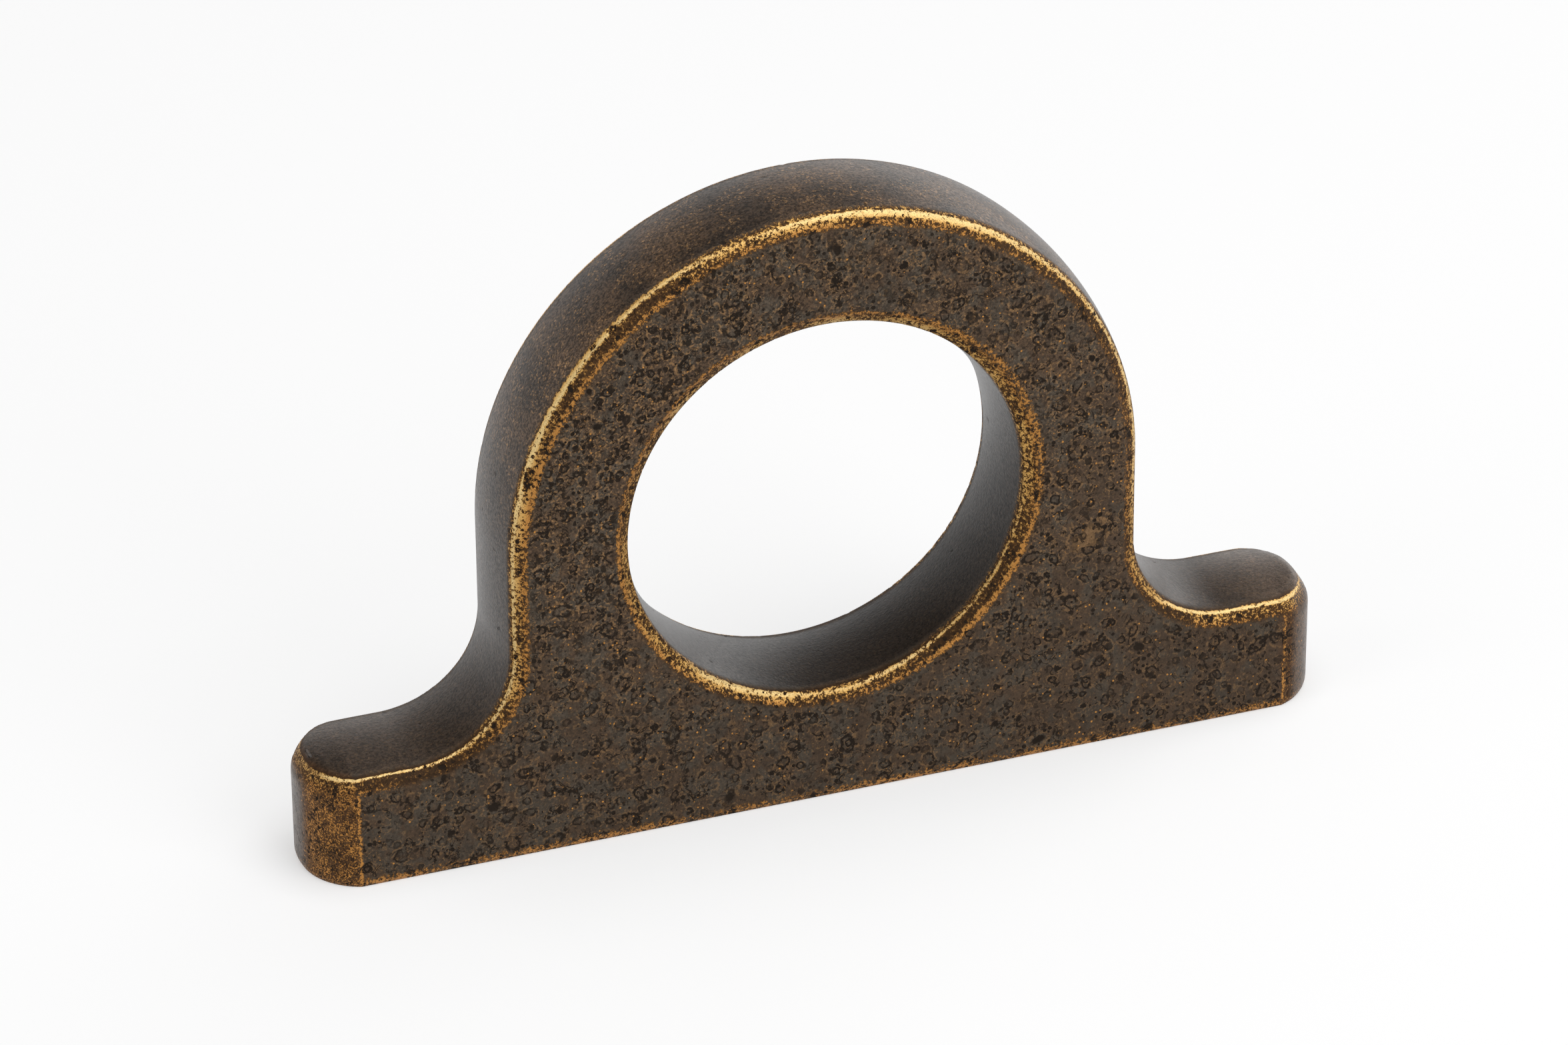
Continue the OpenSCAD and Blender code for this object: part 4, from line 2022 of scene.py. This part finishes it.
@dataclass(frozen=True)
class SoftBox:
    """A square lamp behind a diffuser, aimed at the handle.

    Attributes:
        name: what the lamp is called.
        toward: the direction from the handle to the lamp.
        away: how far it hangs from the handle, in metres.
        size: its side, in metres.
        level: how bright its face looks, where white paper in full light is 1.
    """

    name: str
    toward: tuple[float, float, float]
    away: float
    size: float
    level: float

    def hang(self, aim: Vector) -> None:
        """Puts the lamp up.

        Args:
            aim: the place that it shines at, in metres.
        """
        light = bpy.data.lights.new(self.name, "AREA")
        light.shape = "SQUARE"
        light.size = self.size
        light.energy = self.level * math.pi * self.size**2
        lamp = bpy.data.objects.new(self.name, light)
        direction = Vector(self.toward).normalized()
        lamp.location = aim + direction * self.away
        lamp.rotation_euler = direction.to_track_quat("Z", "Y").to_euler()
        bpy.context.scene.collection.objects.link(lamp)
        log.info("%s: a soft box, %.2f m square", self.name, self.size)


@dataclass(frozen=True)
class Studio:
    """A white table, soft boxes and a room that is bright low down and dim above.

    Attributes:
        table_half: half the side of the table, in metres.
        low_level: the brightness of the room low down.
        high_level: its brightness high up.
        left_share: the share of its light that comes from the left.
        right_share: the share that comes from the right.
        front_share: the share that comes from the front.
        boxes: the lamps.
    """

    table_half: float = 1.5
    low_level: float = 1.15
    high_level: float = 0.16
    left_share: float = 0.5
    right_share: float = 1.15
    front_share: float = 0.35
    boxes: tuple[SoftBox, ...] = (
        SoftBox("key_box", (0.42, -0.78, 0.62), 0.85, 0.60, 2.0),
        SoftBox("top_box", (0.10, -0.12, 1.0), 1.0, 0.80, 3.2),
        SoftBox("left_box", (-0.82, -0.12, 0.56), 0.70, 0.40, 1.5),
        SoftBox("side_box", (0.86, 0.40, 0.42), 0.55, 0.42, 0.75),
    )

    def lay_table(self) -> None:
        """Makes the table top."""
        h = self.table_half
        mesh = bpy.data.meshes.new("table")
        mesh.from_pydata([(-h, -h, 0), (h, -h, 0), (h, h, 0), (-h, h, 0)], [], [(0, 1, 2, 3)])
        mesh.materials.append(WhiteTable().build())
        table = bpy.data.objects.new("table", mesh)
        bpy.context.scene.collection.objects.link(table)

    def light_room(self) -> None:
        """Sets the world: white where the camera sees it, bright low down and dim above elsewhere."""
        world = bpy.data.worlds.new("studio_room")
        bpy.context.scene.world = world
        world.use_nodes = True
        plan = NodePlan(world.node_tree)
        across, deep, height = plan.parts(plan.add("ShaderNodeTexCoord", out="Generated"))
        level = height.fall(0.20, 0.66).between(self.high_level, self.low_level)
        level = level * across.rise(-0.8, 0.7).between(self.left_share, self.right_share)
        level = level * deep.rise(-0.95, -0.55).between(self.front_share, 1.0)
        strength = level.most(plan.rays("Camera")[0])
        background = plan.add("ShaderNodeBackground", sockets={"Color": WHITE, "Strength": strength})
        plan.add("ShaderNodeOutputWorld", sockets={"Surface": background})

    def build(self, aim: Vector) -> None:
        """Sets up the table, the room and the lamps.

        Args:
            aim: the place that the lamps shine at, in metres.
        """
        self.lay_table()
        self.light_room()
        for box in self.boxes:
            box.hang(aim)
        bpy.context.scene.view_settings.view_transform = "Standard"


@dataclass(frozen=True)
class PhotoCamera:
    """The camera at the photograph's viewing angle: a long lens, a little above and left of the front.

    Attributes:
        azimuth: its place round the handle in degrees, with the front at 0.
        elevation: its height above the handle in degrees.
        roll: its turn about its own axis in degrees.
        aim: the place that it looks at, in millimetres.
        away: its distance from there, in millimetres.
        lens: its focal length in millimetres.
        sensor: the width of its sensor in millimetres.
        clip: the nearest and the farthest that it sees, in metres.
    """

    azimuth: float = -19.578
    elevation: float = 30.262
    roll: float = -0.396
    aim: tuple[float, float, float] = (-1.857, 0.0, 21.440)
    away: float = 553.706
    lens: float = 171.32
    sensor: float = 36.0
    clip: Span = (0.01, 20.0)

    def build(self) -> None:
        """Makes the camera and gives it to the scene."""
        az, el = math.radians(self.azimuth), math.radians(self.elevation)
        back = Vector((math.sin(az) * math.cos(el), -math.cos(az) * math.cos(el), math.sin(el)))
        right = Vector((math.cos(az), math.sin(az), 0.0))
        up = back.cross(right)
        upright = Matrix((right, up, back)).transposed()
        turned = upright @ Matrix.Rotation(math.radians(self.roll), 3, "Z")
        data = bpy.data.cameras.new("photo_camera")
        data.lens, data.sensor_width, data.sensor_fit = self.lens, self.sensor, "HORIZONTAL"
        data.clip_start, data.clip_end = self.clip
        camera = bpy.data.objects.new("photo_camera", data)
        place = (Vector(self.aim) + back * self.away) * MM
        camera.matrix_world = Matrix.Translation(place) @ turned.to_4x4()
        bpy.context.scene.collection.objects.link(camera)
        bpy.context.scene.camera = camera


def main() -> None:
    """Builds the handle, its studio and its camera."""
    logging.basicConfig(level=logging.INFO, format="%(name)s: %(message)s")
    _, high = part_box(NODE)
    form = HandleForm(half_len=high[0] / MM, face_y=high[1] / MM)
    finishes = [AgedBrass(form.crease_x).build(), GroundBase().build(), CutThread().build()]
    casting = Casting(form, NetCast(form), CastSurface(form)).build(finishes)
    mesh = casting.data
    log.info("%s: %d points, %d faces", casting.name, len(mesh.vertices), len(mesh.polygons))
    Studio().build(Vector((0.0, 0.0, form.ring_z * MM)))
    PhotoCamera().build()
    log.info("table, room, lamps and camera are set")


if __name__ == "__main__":
    main()
